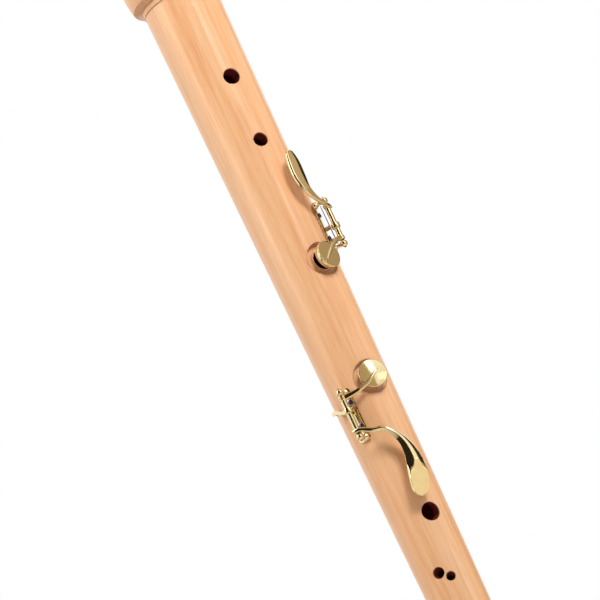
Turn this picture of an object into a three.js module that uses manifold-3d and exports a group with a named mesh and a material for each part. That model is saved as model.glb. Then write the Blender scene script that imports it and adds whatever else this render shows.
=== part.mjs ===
// A bass recorder: three turned wooden joints, a cap with a brass crook, and three
// gold-plated keys. Millimetres. The bore runs up Z from the foot end at zero, the
// finger holes face -Y, and +X is on the right of someone who looks at the holes.
// Places round the tube are angles in degrees from the line of finger holes to +X.

import * as THREE from 'three';
import { mergeVertices } from 'three/addons/utils/BufferGeometryUtils.js';
import Module from 'manifold-3d';

const wasm = await Module();
wasm.setup();

// Clearance between pieces that touch, how far a cutter runs past its work, and how
// close two corners are to count as one
const gap = 0.3;
const overrun = 4;
const weldDistance = 0.0003;

// Fineness of round things, in sides
const barrelSides = 28;
const ringSides = 18;
const holeSides = 14;
const smallSides = 10;
const wireSides = 8;
const pinSides = 6;

// Lengths of the three joints, each from joint line to joint line
const footLength = 215;
const middleLength = 390;
const headLength = 355;
const lowerJointZ = footLength;
const upperJointZ = lowerJointZ + middleLength;
const capJointZ = upperJointZ + headLength;

// Angle of the back of the instrument, where the thumbs are
const backAngle = 180;

// Middle joint
const middle = {
  topRadius: 20.8,
  lowRadius: 14.75,
  boreTopRadius: 12.5,
  boreLowRadius: 8,
  topTenonLength: 32,
  topTenonRadius: 16.5,
  lowTenonLength: 28,
  lowTenonRadius: 12,
};

// Cork lapping on a tenon: groove depth, wood left at each end, how far it stands proud
const lapping = { depth: 1.2, margin: 4, proud: 0.6 };

// Foot joint
const foot = {
  bellRadius: 25,
  bellHeight: 9,
  waistRadius: 16.2,
  waistZ: 62,
  barrelRadius: 16.8,
  barrelZ: 96,
  ringRadius: 20.4,
  ringHeight: 20,
  ringBelowJoint: 27,
  bandRadius: 15.6,
  beadRise: 1.1,
  beadHeight: 3,
  boreEndRadius: 9,
  boreThroatRadius: 7.2,
  boreThroatZ: 40,
};

// Head joint
const head = {
  bandRadius: 21.3,
  bandHeight: 4,
  grooveDepth: 0.7,
  grooveHeight: 0.9,
  ringFootRadius: 25.8,
  ringFootZ: 6,
  ringRadius: 27.3,
  ringHeight: 30,
  collarHeight: 3,
  coveHeight: 9,
  barrelLowRadius: 22.3,
  barrelTopRadius: 24.4,
  boreRadius: 13,
  tenonLength: 25,
  tenonRadius: 21.5,
  windowWidth: 20,
  windowHeight: 7,
  windowBelowCap: 53,
  rampLength: 32,
  edgeThickness: 0.8,
  windwayHeight: 2,
};

// Cap over the head, with the hole that the crook goes into
const cap = {
  wall: 3.2,
  beadRise: 0.9,
  beadHeight: 4,
  barrelHeight: 40,
  chamberRadius: 18,
  chamberHeight: 12,
  shoulderHeight: 16,
  neckRadius: 11,
  neckHeight: 7,
  neckBeadRise: 1.4,
  neckBeadHeight: 4,
};

// Brass crook and the bush that it seats in
const crook = {
  radius: 3.4,
  wall: 1,
  bendRadius: 38,
  riseHeight: 28,
  dropLength: 78,
  mouthBendRadius: 44,
  mouthBendAngle: 52,
  mouthLength: 22,
  corkLength: 18,
  corkThickness: 1.7,
  seatDepth: 22,
  tipLength: 3,
  collarRise: 2,
  collarHeight: 3,
  steps: 24,
};
const bush = { wall: 1.8, flangeRise: 2, flangeHeight: 1.4, depth: 26 };

// Open finger holes: place round the tube and below the upper joint line, diameters
// across and along, and how many degrees the hole leans towards the head as it goes in
const fingerHoles = [
  { angle: 0, belowJoint: 54.5, width: 9, height: 9, slant: 0 },
  { angle: 0, belowJoint: 93, width: 7.7, height: 7.7, slant: 0 },
  { angle: -1.3, belowJoint: 311.6, width: 9.5, height: 10, slant: 12 },
  { angle: -38, belowJoint: 342.5, width: 6, height: 6, slant: 0 },
  { angle: -19, belowJoint: 346.5, width: 4.8, height: 4.8, slant: 0 },
  { angle: backAngle, belowJoint: 35, width: 8.4, height: 8.4, slant: 0 },
];

// What all keys share
const key = {
  hingeAngle: 51,
  hingeHeight: 6.9,
  tubeLength: 21,
  tubeRadius: 1.5,
  rodRadius: 0.75,
  tubeEndRadius: 2,
  tubeEndLength: 2.2,
  postRadius: 1.2,
  ballRadius: 2,
  flangeHeight: 1.1,
  plateInnerAngle: 42,
  plateOuterAngle: 67,
  plateThickness: 0.9,
  screwAngle: 49,
  screwFromCentre: 6.8,
  screwLobeRadius: 2.1,
  lugRadius: 2.3,
  lugLength: 2.8,
  lugTowardsPad: 2.2,
  hookAngle: 46,
  hookHeight: 6,
  tailAngle: 84,
  tailHeight: 4.4,
  tailTowardsPad: 4,
  tailThickness: 1.2,
  corkRadius: 1.2,
  corkInsetAngle: 4,
  springAngle: 51,
  springHeight: 3.9,
  springRadius: 0.3,
  armRootWidth: 1.5,
  armTipWidth: 0.5,
  armThickness: 0.9,
  openAngle: 10.5,
  closingSlack: 0.35,
};

// Rings along the arm over a cup, and rings of a touch for each of its stations
const armRings = 9;
const touchRingsShare = 1.6;

// Pad, cup and the flat seat sunk in the wood, where a rim stands round the tone hole
const pad = {
  seatRadius: 9.4,
  seatDepth: 3,
  toneHoleRadius: 5.3,
  rimRadius: 6.4,
  rimHeight: 1.1,
  radius: 6.8,
  thickness: 2,
  cupRadius: 7.6,
  cupWall: 0.5,
  cupRoof: 0.6,
  cupRise: 0.5,
  cupOverlap: 0.9,
};

// Screws in brass plates
const screw = { headRadius: 1.4, headHeight: 0.8, shankRadius: 0.75, length: 5.5, slot: 0.5 };

// Hook for the right thumb, on the back
const thumbRest = {
  angle: 165,
  aboveJoint: 118,
  halfAngle: 24,
  height: 34,
  thickness: 1.3,
  shelfReach: 14,
  shelfWidth: 14,
  shelfThickness: 2,
  lipHeight: 4,
  screwFromCentre: 11,
};

// Ring for the neck strap, on the back
const strap = {
  angle: 165,
  aboveJoint: 200,
  halfAngle: 17,
  height: 26,
  thickness: 1.2,
  eyeReach: 5,
  eyeWidth: 3.2,
  eyeRadius: 3.6,
  eyeHoleRadius: 1.9,
  ringRadius: 9,
  wireRadius: 1.1,
  screwFromCentre: 8.5,
};
const thumbRestZ = lowerJointZ + thumbRest.aboveJoint;
const strapZ = lowerJointZ + strap.aboveJoint;

const radians = THREE.MathUtils.degToRad;

// A point by angle, distance from the bore axis, and height
function place(angle, radius, z) {
  const a = radians(angle);
  return new THREE.Vector3(radius * Math.sin(a), -radius * Math.cos(a), z);
}

function outward(angle) {
  return place(angle, 1, 0);
}

// Outer radius of the middle joint and of the foot's barrel where keys and plates sit
function middleRadius(z) {
  const share = (z - lowerJointZ) / middleLength;
  return THREE.MathUtils.lerp(middle.lowRadius, middle.topRadius, share);
}

function footRadius() {
  return foot.barrelRadius;
}

// Solids

function closedMesh(geometry) {
  const bare = geometry.clone();
  bare.deleteAttribute('normal');
  bare.deleteAttribute('uv');
  const merged = mergeVertices(bare, weldDistance);
  const index = merged.index.array;
  const triangles = [];
  for (let i = 0; i < index.length; i += 3) {
    const [a, b, c] = [index[i], index[i + 1], index[i + 2]];
    if (a !== b && b !== c && c !== a) triangles.push(a, b, c);
  }
  return { positions: merged.attributes.position, triangles };
}

function signedVolume(positions, triangles) {
  const [a, b, c] = [new THREE.Vector3(), new THREE.Vector3(), new THREE.Vector3()];
  let volume = 0;
  for (let i = 0; i < triangles.length; i += 3) {
    a.fromBufferAttribute(positions, triangles[i]);
    b.fromBufferAttribute(positions, triangles[i + 1]);
    c.fromBufferAttribute(positions, triangles[i + 2]);
    volume += a.dot(b.cross(c));
  }
  return volume;
}

function solid(geometry) {
  const { positions, triangles } = closedMesh(geometry);
  if (signedVolume(positions, triangles) < 0) triangles.reverse();
  return new wasm.Manifold(
    new wasm.Mesh({
      numProp: 3,
      vertProperties: new Float32Array(positions.array),
      triVerts: new Uint32Array(triangles),
    }),
  );
}

function geometryOf(body) {
  const mesh = body.getMesh();
  const geometry = new THREE.BufferGeometry();
  geometry.setAttribute('position', new THREE.BufferAttribute(mesh.vertProperties, mesh.numProp));
  geometry.setIndex(new THREE.BufferAttribute(mesh.triVerts, 1));
  geometry.computeVertexNormals();
  return geometry;
}

function joined(first, ...others) {
  return others.reduce((whole, other) => whole.add(other), first);
}

function cut(first, ...tools) {
  return tools.reduce((whole, tool) => whole.subtract(tool), first);
}

// A body turned round Z from pairs of radius and height
function turned(outline, sides = barrelSides) {
  const points = outline.map(([radius, z]) => new THREE.Vector2(radius, z));
  points.push(points[0].clone());
  return solid(new THREE.LatheGeometry(points, sides).rotateX(Math.PI / 2));
}

// A round bar from one point to another
function bar(from, to, radius, sides = smallSides) {
  const along = to.clone().sub(from);
  const geometry = new THREE.CylinderGeometry(radius, radius, along.length(), sides);
  const turn = new THREE.Quaternion().setFromUnitVectors(THREE.Object3D.DEFAULT_UP, along.normalize());
  const middlePoint = from.clone().add(to).divideScalar(2);
  return solid(geometry.applyQuaternion(turn).translate(...middlePoint));
}

function ball(centre, radius, sides = smallSides) {
  return solid(new THREE.SphereGeometry(radius, sides, sides / 2).translate(...centre));
}

function block(size, centre, angle = 0) {
  const geometry = new THREE.BoxGeometry(...size).rotateZ(radians(angle));
  return solid(geometry.translate(...centre));
}

// A closed skin through rings of equally many points
function loft(rings) {
  const count = rings[0].length;
  const points = rings.flat();
  const triangles = [];
  for (let ring = 0; ring < rings.length - 1; ring += 1) {
    for (let i = 0; i < count; i += 1) {
      const a = ring * count + i;
      const b = ring * count + ((i + 1) % count);
      triangles.push(a, b, b + count, a, b + count, a + count);
    }
  }
  for (let i = 1; i < count - 1; i += 1) {
    const end = (rings.length - 1) * count;
    triangles.push(0, i + 1, i, end, end + i, end + i + 1);
  }
  const geometry = new THREE.BufferGeometry().setFromPoints(points);
  geometry.setIndex(triangles);
  return solid(geometry);
}

// A plate that follows the wood between two angles and two heights
function skin(surface, angles, heights, lift, thickness, steps = 4) {
  const ringAt = (z) => {
    const arc = (radius, from, to) =>
      Array.from({ length: steps + 1 }, (_, i) =>
        place(THREE.MathUtils.lerp(from, to, i / steps), radius, z));
    const under = surface(z) + lift;
    return [...arc(under + thickness, ...angles), ...arc(under, ...angles.toReversed())];
  };
  return loft(heights.map(ringAt));
}

// A bar of oval section along points given as angle, height over the wood, z, half
// width and half thickness; the thickness stands away from the bore
function tapered(surface, stations, rings, sides = wireSides) {
  const route = new THREE.CatmullRomCurve3(
    stations.map(([angle, height, z]) => new THREE.Vector3(angle, height, z)));
  const sizes = new THREE.CatmullRomCurve3(
    stations.map(([, , , width, thickness]) => new THREE.Vector3(width, thickness, 0)));
  const centres = Array.from({ length: rings + 1 }, (_, i) => {
    const { x: angle, y: height, z } = route.getPoint(i / rings);
    return { angle, point: place(angle, surface(z) + height, z) };
  });
  return loft(centres.map(({ angle, point }, i) => {
    const before = centres[Math.max(i - 1, 0)].point;
    const after = centres[Math.min(i + 1, rings)].point;
    const up = outward(angle);
    const across = after.clone().sub(before).cross(up).normalize();
    const { x: width, y: thickness } = sizes.getPoint(i / rings);
    return Array.from({ length: sides }, (_, k) => {
      const turn = (k / sides) * 2 * Math.PI;
      return point.clone()
        .addScaledVector(across, width * Math.cos(turn))
        .addScaledVector(up, thickness * Math.sin(turn));
    });
  }));
}

// Outlines

const bulgeShares = [[0, 0], [0.16, 0.62], [0.38, 0.95], [0.62, 0.95], [0.84, 0.62], [1, 0]];
const coveShares = [[0, 0], [0.25, 0.55], [0.6, 0.88], [1, 1]];

// A bulge or bead of some rise on a radius, from z up
function bulge(radius, rise, z, height) {
  return bulgeShares.map(([along, out]) => [radius + rise * out, z + height * along]);
}

// A hollow curve from one radius to another
function cove(fromRadius, toRadius, z, height) {
  return coveShares.map(([along, out]) => [
    THREE.MathUtils.lerp(fromRadius, toRadius, out), z + height * along]);
}

// Tenon with a groove for its cork, from its low end up
function tenonOutline(radius, z, length) {
  const grooveRadius = radius - lapping.depth;
  return [
    [radius, z],
    [radius, z + lapping.margin],
    [grooveRadius, z + lapping.margin],
    [grooveRadius, z + length - lapping.margin],
    [radius, z + length - lapping.margin],
    [radius, z + length],
  ];
}

function lappingCork(radius, z, length) {
  const low = z + lapping.margin + gap;
  const high = z + length - lapping.margin - gap;
  return turned([
    [radius - lapping.depth + gap, low],
    [radius + lapping.proud, low],
    [radius + lapping.proud, high],
    [radius - lapping.depth + gap, high],
  ]);
}

function socketRadius(tenonRadius) {
  return tenonRadius + lapping.proud + gap;
}

// Holes

// A hole across the wall from some distance off the bore axis outwards
function radialHole({ angle, z, width, from = 0, sides = holeSides }, surface) {
  const reach = surface(z) + overrun;
  return solid(roundHole(width, width, from, reach, sides).rotateX(Math.PI)
    .rotateZ(radians(angle)).translate(0, 0, z));
}

function roundHole(width, height, from, reach, sides) {
  const geometry = new THREE.CylinderGeometry(1, 1, reach - from, sides);
  return geometry.scale(width / 2, 1, height / 2).translate(0, (from + reach) / 2, 0);
}

// A finger hole, which may lean; its mouth on the wood stays at its place
function fingerHole({ angle, belowJoint, width, height, slant }) {
  const z = upperJointZ - belowJoint;
  const lean = radians(slant);
  const geometry = roundHole(width, height, 0, middleRadius(z) + overrun, holeSides);
  geometry.rotateX(Math.PI + lean).rotateZ(radians(angle));
  return solid(geometry.translate(0, 0, z + middleRadius(z) * Math.tan(lean)));
}

function seatFloor(spec) {
  return spec.surface(spec.padZ) - pad.seatDepth;
}

// The flat sunk seat of a pad, and the tone hole in it with its rim
function keyedHoles(spec) {
  const { padAngle: angle, padZ: z, surface } = spec;
  const floor = seatFloor(spec);
  const seat = radialHole(
    { angle, z, width: 2 * pad.seatRadius, from: floor, sides: ringSides }, surface);
  const rim = bar(place(angle, floor - overrun, z), place(angle, floor + pad.rimHeight, z),
    pad.rimRadius, ringSides);
  return [cut(seat, rim), radialHole({ angle, z, width: 2 * pad.toneHoleRadius }, surface)];
}

// Places of screws: angle, height, and what they hold down
const keyScrewPlaces = (spec) => [1, -1].map((end) => ({
  surface: spec.surface,
  angle: spec.side * key.screwAngle,
  z: spec.hingeZ + end * key.screwFromCentre,
  lift: gap + key.plateThickness,
}));
const backScrewPlaces = (plate) => [1, -1].map((end) => ({
  surface: middleRadius,
  angle: plate.angle,
  z: lowerJointZ + plate.aboveJoint + end * plate.screwFromCentre,
  lift: gap + plate.thickness,
}));

function pilotHole({ surface, angle, z }) {
  const top = surface(z) + overrun;
  const bottom = surface(z) - screw.length;
  return bar(place(angle, bottom, z), place(angle, top, z), screw.shankRadius + gap, pinSides);
}

function plateScrew({ surface, angle, z, lift }) {
  const seat = surface(z) + lift + gap;
  const tip = surface(z) - screw.length + gap;
  const headTop = seat + screw.headHeight;
  const shank = bar(place(angle, tip, z), place(angle, headTop, z), screw.shankRadius, pinSides);
  const top = bar(place(angle, seat, z), place(angle, headTop, z), screw.headRadius);
  const slotSize = [screw.slot, screw.headHeight, 2 * screw.headRadius + overrun];
  return cut(joined(top, shank), block(slotSize, place(angle, headTop, z), angle));
}

// Keys. reach is +1 where the touch points to the head and -1 where it points to the
// foot; side is +1 where the hinge is on +X. Each row of touchShares has an angle in
// degrees, then shares of the touch's height over the wood, of its length from the
// hinge's middle, of its half width and of its half thickness.
const keySpecs = [
  {
    name: 'key_3',
    side: 1,
    reach: 1,
    surface: middleRadius,
    joint: upperJointZ,
    hingeBelowJoint: 148,
    padBelowJoint: 165.6,
    padAngle: 15.5,
    bumperTowardsPad: 2,
    armShares: [[1, 1], [0.62, 0.82], [0.28, 0.42], [0, 0], [-0.36, -0.6]],
    touchSize: { height: 8.3, length: 43, halfWidth: 4.6, halfThickness: 1.4 },
    touchShares: [
      [55, 1, 0.212, 0.261, 0.786],
      [46, 0.964, 0.223, 0.283, 0.929],
      [39.5, 0.892, 0.256, 0.304, 1],
      [30, 0.783, 0.349, 0.63, 0.929],
      [20.5, 0.916, 0.479, 0.783, 0.786],
      [18.8, 0.867, 0.651, 1, 0.714],
      [20.2, 0.831, 0.837, 0.978, 0.643],
      [20.2, 0.867, 0.953, 0.652, 0.571],
      [19.9, 0.855, 1, 0.239, 0.429],
    ],
  },
  {
    name: 'key_4',
    side: -1,
    reach: -1,
    surface: middleRadius,
    joint: upperJointZ,
    hingeBelowJoint: 249.5,
    padBelowJoint: 234,
    padAngle: 4,
    bumperTowardsPad: 4,
    armShares: [[1, 1], [0.78, 1], [0.52, 0.92], [0.24, 0.6], [0, 0.1], [-0.17, -0.25]],
    touchSize: { height: 8.6, length: 55.8, halfWidth: 5.5, halfThickness: 1.6 },
    touchShares: [
      [55, 0.953, 0.163, 0.218, 0.688],
      [47, 0.93, 0.172, 0.236, 0.812],
      [41, 0.895, 0.194, 0.236, 0.938],
      [31.5, 0.93, 0.233, 0.273, 1],
      [18.5, 0.977, 0.265, 0.273, 1],
      [6.7, 1, 0.384, 0.418, 1],
      [3.4, 1, 0.513, 0.618, 0.938],
      [3.3, 0.953, 0.656, 0.909, 0.812],
      [4.9, 0.884, 0.789, 1, 0.688],
      [8.5, 0.814, 0.905, 0.782, 0.562],
      [9.5, 0.767, 0.968, 0.4, 0.437],
      [10.3, 0.756, 1, 0.182, 0.312],
    ],
  },
  {
    name: 'key_7',
    side: -1,
    reach: 1,
    surface: footRadius,
    joint: lowerJointZ,
    hingeBelowJoint: 55,
    padBelowJoint: 72,
    padAngle: 0,
    bumperTowardsPad: 3,
    armShares: [[1, 1], [0.78, 1], [0.52, 0.92], [0.24, 0.6], [0, 0.1], [-0.17, -0.25]],
    touchSize: { height: 11, length: 52, halfWidth: 4.9, halfThickness: 1.5 },
    touchShares: [
      [55, 0.745, 0.175, 0.245, 0.733],
      [49, 0.764, 0.185, 0.265, 0.867],
      [44, 0.8, 0.212, 0.286, 0.933],
      [36, 0.909, 0.308, 0.306, 1],
      [30, 0.982, 0.423, 0.367, 1],
      [27, 1, 0.558, 0.571, 0.933],
      [26, 0.982, 0.692, 0.857, 0.8],
      [26, 0.945, 0.827, 1, 0.667],
      [26.5, 0.909, 0.942, 0.816, 0.533],
      [26.5, 0.891, 1, 0.327, 0.4],
    ],
  },
].map((spec) => ({
  ...spec,
  hingeZ: spec.joint - spec.hingeBelowJoint,
  padZ: spec.joint - spec.padBelowJoint,
}));

function hingeRadius(spec) {
  return spec.surface(spec.hingeZ) + key.hingeHeight;
}

function onHinge(spec, offset) {
  return place(spec.side * key.hingeAngle, hingeRadius(spec), spec.hingeZ + offset);
}

// Height of a place that lies some way from the hinge's middle towards the pad
function towardsPad(spec, distance) {
  return spec.hingeZ - spec.reach * distance;
}

// Distance of the post balls from the middle of the hinge
const postOffset = key.tubeLength / 2 + gap + key.ballRadius;

function keySaddle(spec) {
  const { side, surface, hingeZ } = spec;
  const end = postOffset + key.ballRadius;
  const angles = [side * key.plateInnerAngle, side * key.plateOuterAngle];
  const plate = skin(surface, angles, [hingeZ - end, hingeZ, hingeZ + end], gap, key.plateThickness);
  const posts = [1, -1].map((which) => {
    const top = onHinge(spec, which * postOffset);
    const at = (over) => place(side * key.hingeAngle, surface(top.z) + over, top.z);
    const flangeTop = at(gap + key.plateThickness + key.flangeHeight);
    const flange = bar(at(2 * gap), flangeTop, key.ballRadius);
    return joined(bar(at(2 * gap), top, key.postRadius), flange, ball(top, key.ballRadius));
  });
  const lobes = keyScrewPlaces(spec).map(({ angle, z }) => {
    const at = (over) => place(angle, surface(z) + over, z);
    return bar(at(gap), at(gap + key.plateThickness), key.screwLobeRadius, ringSides);
  });
  const rodHole = bar(onHinge(spec, -end - overrun), onHinge(spec, end + overrun), key.rodRadius + gap);
  const whole = joined(plate, ...lobes, ...posts);
  return cut(whole, rodHole, ...keyScrewPlaces(spec).map(pilotHole));
}

function keyRod(spec) {
  const end = postOffset + key.ballRadius;
  return bar(onHinge(spec, -end), onHinge(spec, end), key.rodRadius);
}

// The pad's own frame: pulls a shape built on the seat into place, then opens the key
function seated(spec, body) {
  const geometry = geometryOf(body).rotateX(Math.PI / 2).translate(0, -seatFloor(spec), 0);
  geometry.rotateZ(radians(spec.padAngle)).translate(0, 0, spec.padZ);
  return solid(opened(spec, geometry));
}

function opened(spec, geometry) {
  const { x, y } = onHinge(spec, 0);
  geometry.translate(-x, -y, 0).rotateZ(radians(spec.side * key.openAngle));
  return geometry.translate(x, y, 0);
}

// Heights over the seat, with the key closed
const padLow = pad.rimHeight + gap;
const padTop = padLow + pad.thickness;
const cupCeiling = padTop + gap;
const cupTop = cupCeiling + pad.cupRoof + pad.cupRise;
const cupBrim = padTop - pad.cupOverlap;

function keyPad(spec) {
  return seated(spec, turned([[0, padLow], [pad.radius, padLow], [pad.radius, padTop],
    [0, padTop]], ringSides));
}

function keyCup(spec) {
  const inner = pad.cupRadius - pad.cupWall;
  return seated(spec, turned([
    [0, cupCeiling],
    [inner, cupCeiling],
    [inner, cupBrim],
    [pad.cupRadius, cupBrim],
    [pad.cupRadius, cupTop - pad.cupRise - pad.cupWall],
    [pad.cupRadius - pad.cupWall, cupTop - pad.cupRise],
    [0, cupTop],
  ], ringSides));
}

// Arm over the cup, in the closed pad's frame: across to the hinge, then along the tube
function padArm(spec) {
  const { side, surface, reach } = spec;
  const turn = radians(side * key.hingeAngle - spec.padAngle);
  const toHinge = hingeRadius(spec) * Math.sin(turn);
  const hingeOver = hingeRadius(spec) * Math.cos(turn) - seatFloor(spec);
  const tubeEnd = spec.hingeZ - (reach * key.tubeLength) / 2 + reach * key.tubeRadius;
  const alongHinge = tubeEnd - spec.padZ;
  const overCup = cupTop + gap + key.armThickness;
  const rings = new THREE.CatmullRomCurve3(spec.armShares.map(([across, along]) => {
    const share = Math.max(across, 0) ** 2;
    const over = THREE.MathUtils.lerp(overCup, hingeOver, share);
    return new THREE.Vector3(toHinge * across, -over, alongHinge * along);
  }));
  const count = armRings;
  const points = Array.from({ length: count + 1 }, (_, i) => rings.getPoint(i / count));
  const up = new THREE.Vector3(0, -1, 0);
  const body = loft(points.map((point, i) => {
    const before = points[Math.max(i - 1, 0)];
    const after = points[Math.min(i + 1, count)];
    const across = after.clone().sub(before).cross(up).normalize();
    const width = THREE.MathUtils.lerp(key.armRootWidth, key.armTipWidth, i / count);
    return Array.from({ length: wireSides }, (_, k) => {
      const angle = (k / wireSides) * 2 * Math.PI;
      return point.clone()
        .addScaledVector(across, width * Math.cos(angle))
        .addScaledVector(up, key.armThickness * Math.sin(angle));
    });
  }));
  const geometry = geometryOf(body).translate(0, -seatFloor(spec), 0);
  geometry.rotateZ(radians(spec.padAngle)).translate(0, 0, spec.padZ);
  return solid(opened(spec, geometry));
}

// Rows of angle, height over the wood, z, half width and half thickness
function touchStations({ side, reach, hingeZ, touchSize, touchShares }) {
  return touchShares.map(([angle, high, along, wide, thick]) => [
    side * angle,
    touchSize.height * high,
    hingeZ + reach * touchSize.length * along,
    touchSize.halfWidth * wide,
    touchSize.halfThickness * thick,
  ]);
}

// The tail that stops the opened key on the wood, and the hook that the spring lifts
function keyTail(spec) {
  const { side, surface, hingeZ } = spec;
  const half = key.lugLength / 2;
  const thick = key.tailThickness / 2;
  const lugOffset = towardsPad(spec, key.lugTowardsPad) - hingeZ;
  const root = [side * key.hingeAngle, key.hingeHeight, hingeZ + lugOffset, half, thick];
  const end = tailEnd(spec);
  const bend = root.map((value, i) => THREE.MathUtils.lerp(value, end[i], 1 / 2));
  const tail = tapered(surface, [root, bend, end], 4);
  const hook = tapered(surface, [root, [
    side * key.hookAngle, key.hookHeight, towardsPad(spec, spec.bumperTowardsPad), key.corkRadius, thick,
  ]], 2);
  const collar = bar(onHinge(spec, lugOffset - half), onHinge(spec, lugOffset + half), key.lugRadius);
  return joined(collar, tail, hook);
}

function tailEnd(spec) {
  const z = towardsPad(spec, key.lugTowardsPad + key.tailTowardsPad);
  return [spec.side * key.tailAngle, key.tailHeight, z, key.lugLength / 2, key.tailThickness / 2];
}

function keyLever(spec) {
  const half = key.tubeLength / 2;
  const tube = bar(onHinge(spec, -half), onHinge(spec, half), key.tubeRadius);
  const tubeEnds = [1, -1].map((end) => bar(
    onHinge(spec, end * (half - key.tubeEndLength)), onHinge(spec, end * half), key.tubeEndRadius));
  const stations = touchStations(spec);
  const touch = tapered(spec.surface, stations, Math.round(touchRingsShare * stations.length));
  const rodHole = bar(
    onHinge(spec, -half - overrun), onHinge(spec, half + overrun), key.rodRadius + gap);
  return cut(joined(tube, ...tubeEnds, padArm(spec), touch, keyTail(spec)), rodHole);
}

function keyTailCork(spec) {
  const { side, surface } = spec;
  const angle = side * (key.tailAngle - key.corkInsetAngle);
  const inset = key.corkInsetAngle / (key.tailAngle - key.hingeAngle);
  const z = towardsPad(spec, key.lugTowardsPad + key.tailTowardsPad * (1 - inset));
  const under = surface(z) + key.tailHeight - key.tailThickness / 2 - gap;
  return bar(place(angle, surface(z) + gap, z), place(angle, under, z), key.corkRadius);
}

function keyBumperCork(spec) {
  const { side, surface } = spec;
  const angle = side * key.hookAngle;
  const z = towardsPad(spec, spec.bumperTowardsPad);
  const swing = 2 * hingeRadius(spec) * Math.sin(radians(key.hingeAngle - key.hookAngle) / 2);
  const drop = swing * Math.sin(radians(key.openAngle));
  const low = surface(z) + gap + key.plateThickness + gap;
  const top = surface(z) + key.hookHeight - key.tailThickness / 2 - drop - key.closingSlack;
  return bar(place(angle, low, z), place(angle, top, z), key.corkRadius);
}

function keySpring(spec) {
  const { side, surface, hingeZ } = spec;
  const radius = surface(hingeZ) + key.springHeight;
  const half = postOffset - key.postRadius - gap;
  const at = (offset) => place(side * key.springAngle, radius, hingeZ + offset);
  return bar(at(-half), at(half), key.springRadius, pinSides);
}

// Wooden joints

function middleJoint() {
  const lowEnd = lowerJointZ - middle.lowTenonLength;
  const topEnd = upperJointZ + middle.topTenonLength;
  const body = turned([
    [middle.boreLowRadius, lowEnd],
    ...tenonOutline(middle.lowTenonRadius, lowEnd, middle.lowTenonLength),
    [middle.lowRadius, lowerJointZ],
    [middle.topRadius, upperJointZ],
    ...tenonOutline(middle.topTenonRadius, upperJointZ, middle.topTenonLength),
    [middle.boreTopRadius, topEnd],
  ]);
  const screws = [
    ...middleKeys.flatMap(keyScrewPlaces),
    ...backScrewPlaces(thumbRest),
    ...backScrewPlaces(strap),
  ];
  return cut(
    body,
    ...fingerHoles.map(fingerHole),
    ...middleKeys.flatMap(keyedHoles),
    ...screws.map(pilotHole),
  );
}

const [key3, key4, key7] = keySpecs;
const middleKeys = [key3, key4];

function footJoint() {
  const joint = lowerJointZ - gap;
  const socket = socketRadius(middle.lowTenonRadius);
  const socketFloor = lowerJointZ - middle.lowTenonLength - gap;
  const ringLow = lowerJointZ - foot.ringBelowJoint;
  const ringTop = ringLow + foot.ringHeight;
  const body = turned([
    [foot.boreEndRadius, 0],
    [foot.bellRadius - foot.beadRise, 0],
    ...bulge(foot.bellRadius - foot.beadRise, foot.beadRise, 0, foot.bellHeight).slice(1),
    ...cove(foot.bellRadius - foot.beadRise, foot.waistRadius, foot.bellHeight + foot.beadHeight,
      foot.waistZ - foot.bellHeight - foot.beadHeight),
    ...bulge(foot.waistRadius, foot.beadRise, foot.waistZ + foot.beadHeight, foot.beadHeight),
    [foot.barrelRadius, foot.barrelZ],
    [foot.barrelRadius, ringLow],
    ...bulge(foot.barrelRadius, foot.ringRadius - foot.barrelRadius, ringLow, foot.ringHeight).slice(1),
    [foot.bandRadius, ringTop + foot.beadHeight / 2],
    [foot.bandRadius, joint],
    [socket, joint],
    [socket, socketFloor],
    [middle.boreLowRadius, socketFloor],
    [foot.boreThroatRadius, foot.boreThroatZ],
  ]);
  return cut(body, ...keyedHoles(key7), ...keyScrewPlaces(key7).map(pilotHole));
}

function headOutline() {
  const joint = upperJointZ + gap;
  const socket = socketRadius(middle.topTenonRadius);
  const socketRoof = upperJointZ + middle.topTenonLength + gap;
  const bandTop = joint + head.bandHeight;
  const ringFoot = upperJointZ + head.ringFootZ;
  const ringTop = ringFoot + head.ringHeight;
  const collarTop = ringTop + head.collarHeight;
  const grooveRadius = head.bandRadius - head.grooveDepth;
  const collarRadius = head.ringFootRadius - head.grooveDepth;
  return [
    [head.boreRadius, socketRoof],
    [socket, socketRoof],
    [socket, joint],
    [head.bandRadius, joint],
    [head.bandRadius, bandTop - head.grooveHeight],
    [grooveRadius, bandTop - head.grooveHeight / 2],
    [head.bandRadius, bandTop],
    [head.ringFootRadius, ringFoot],
    ...bulge(head.ringFootRadius, head.ringRadius - head.ringFootRadius, ringFoot,
      head.ringHeight).slice(1),
    [collarRadius, ringTop + head.grooveHeight],
    [collarRadius, collarTop],
    ...cove(collarRadius, head.barrelLowRadius, collarTop, head.coveHeight).slice(1),
    [head.barrelTopRadius, capJointZ],
    ...tenonOutline(head.tenonRadius, capJointZ, head.tenonLength),
    [head.boreRadius, capJointZ + head.tenonLength],
  ];
}

const windowTopZ = capJointZ - head.windowBelowCap;
const windowLowZ = windowTopZ - head.windowHeight;

// Window over the sounding edge, with the ramp that slopes out of it towards the foot
function windowCutter() {
  const wide = head.windowWidth / 2;
  const outer = head.barrelTopRadius + overrun;
  const edge = head.boreRadius + head.edgeThickness;
  const rampEnd = head.barrelTopRadius;
  const profile = [
    [-outer, windowTopZ],
    [0, windowTopZ],
    [0, windowLowZ],
    [-edge, windowLowZ],
    [-rampEnd, windowLowZ - head.rampLength],
    [-outer, windowLowZ - head.rampLength],
  ];
  return loft([-wide, wide].map((x) => profile.map(([y, z]) => new THREE.Vector3(x, y, z))));
}

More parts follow.
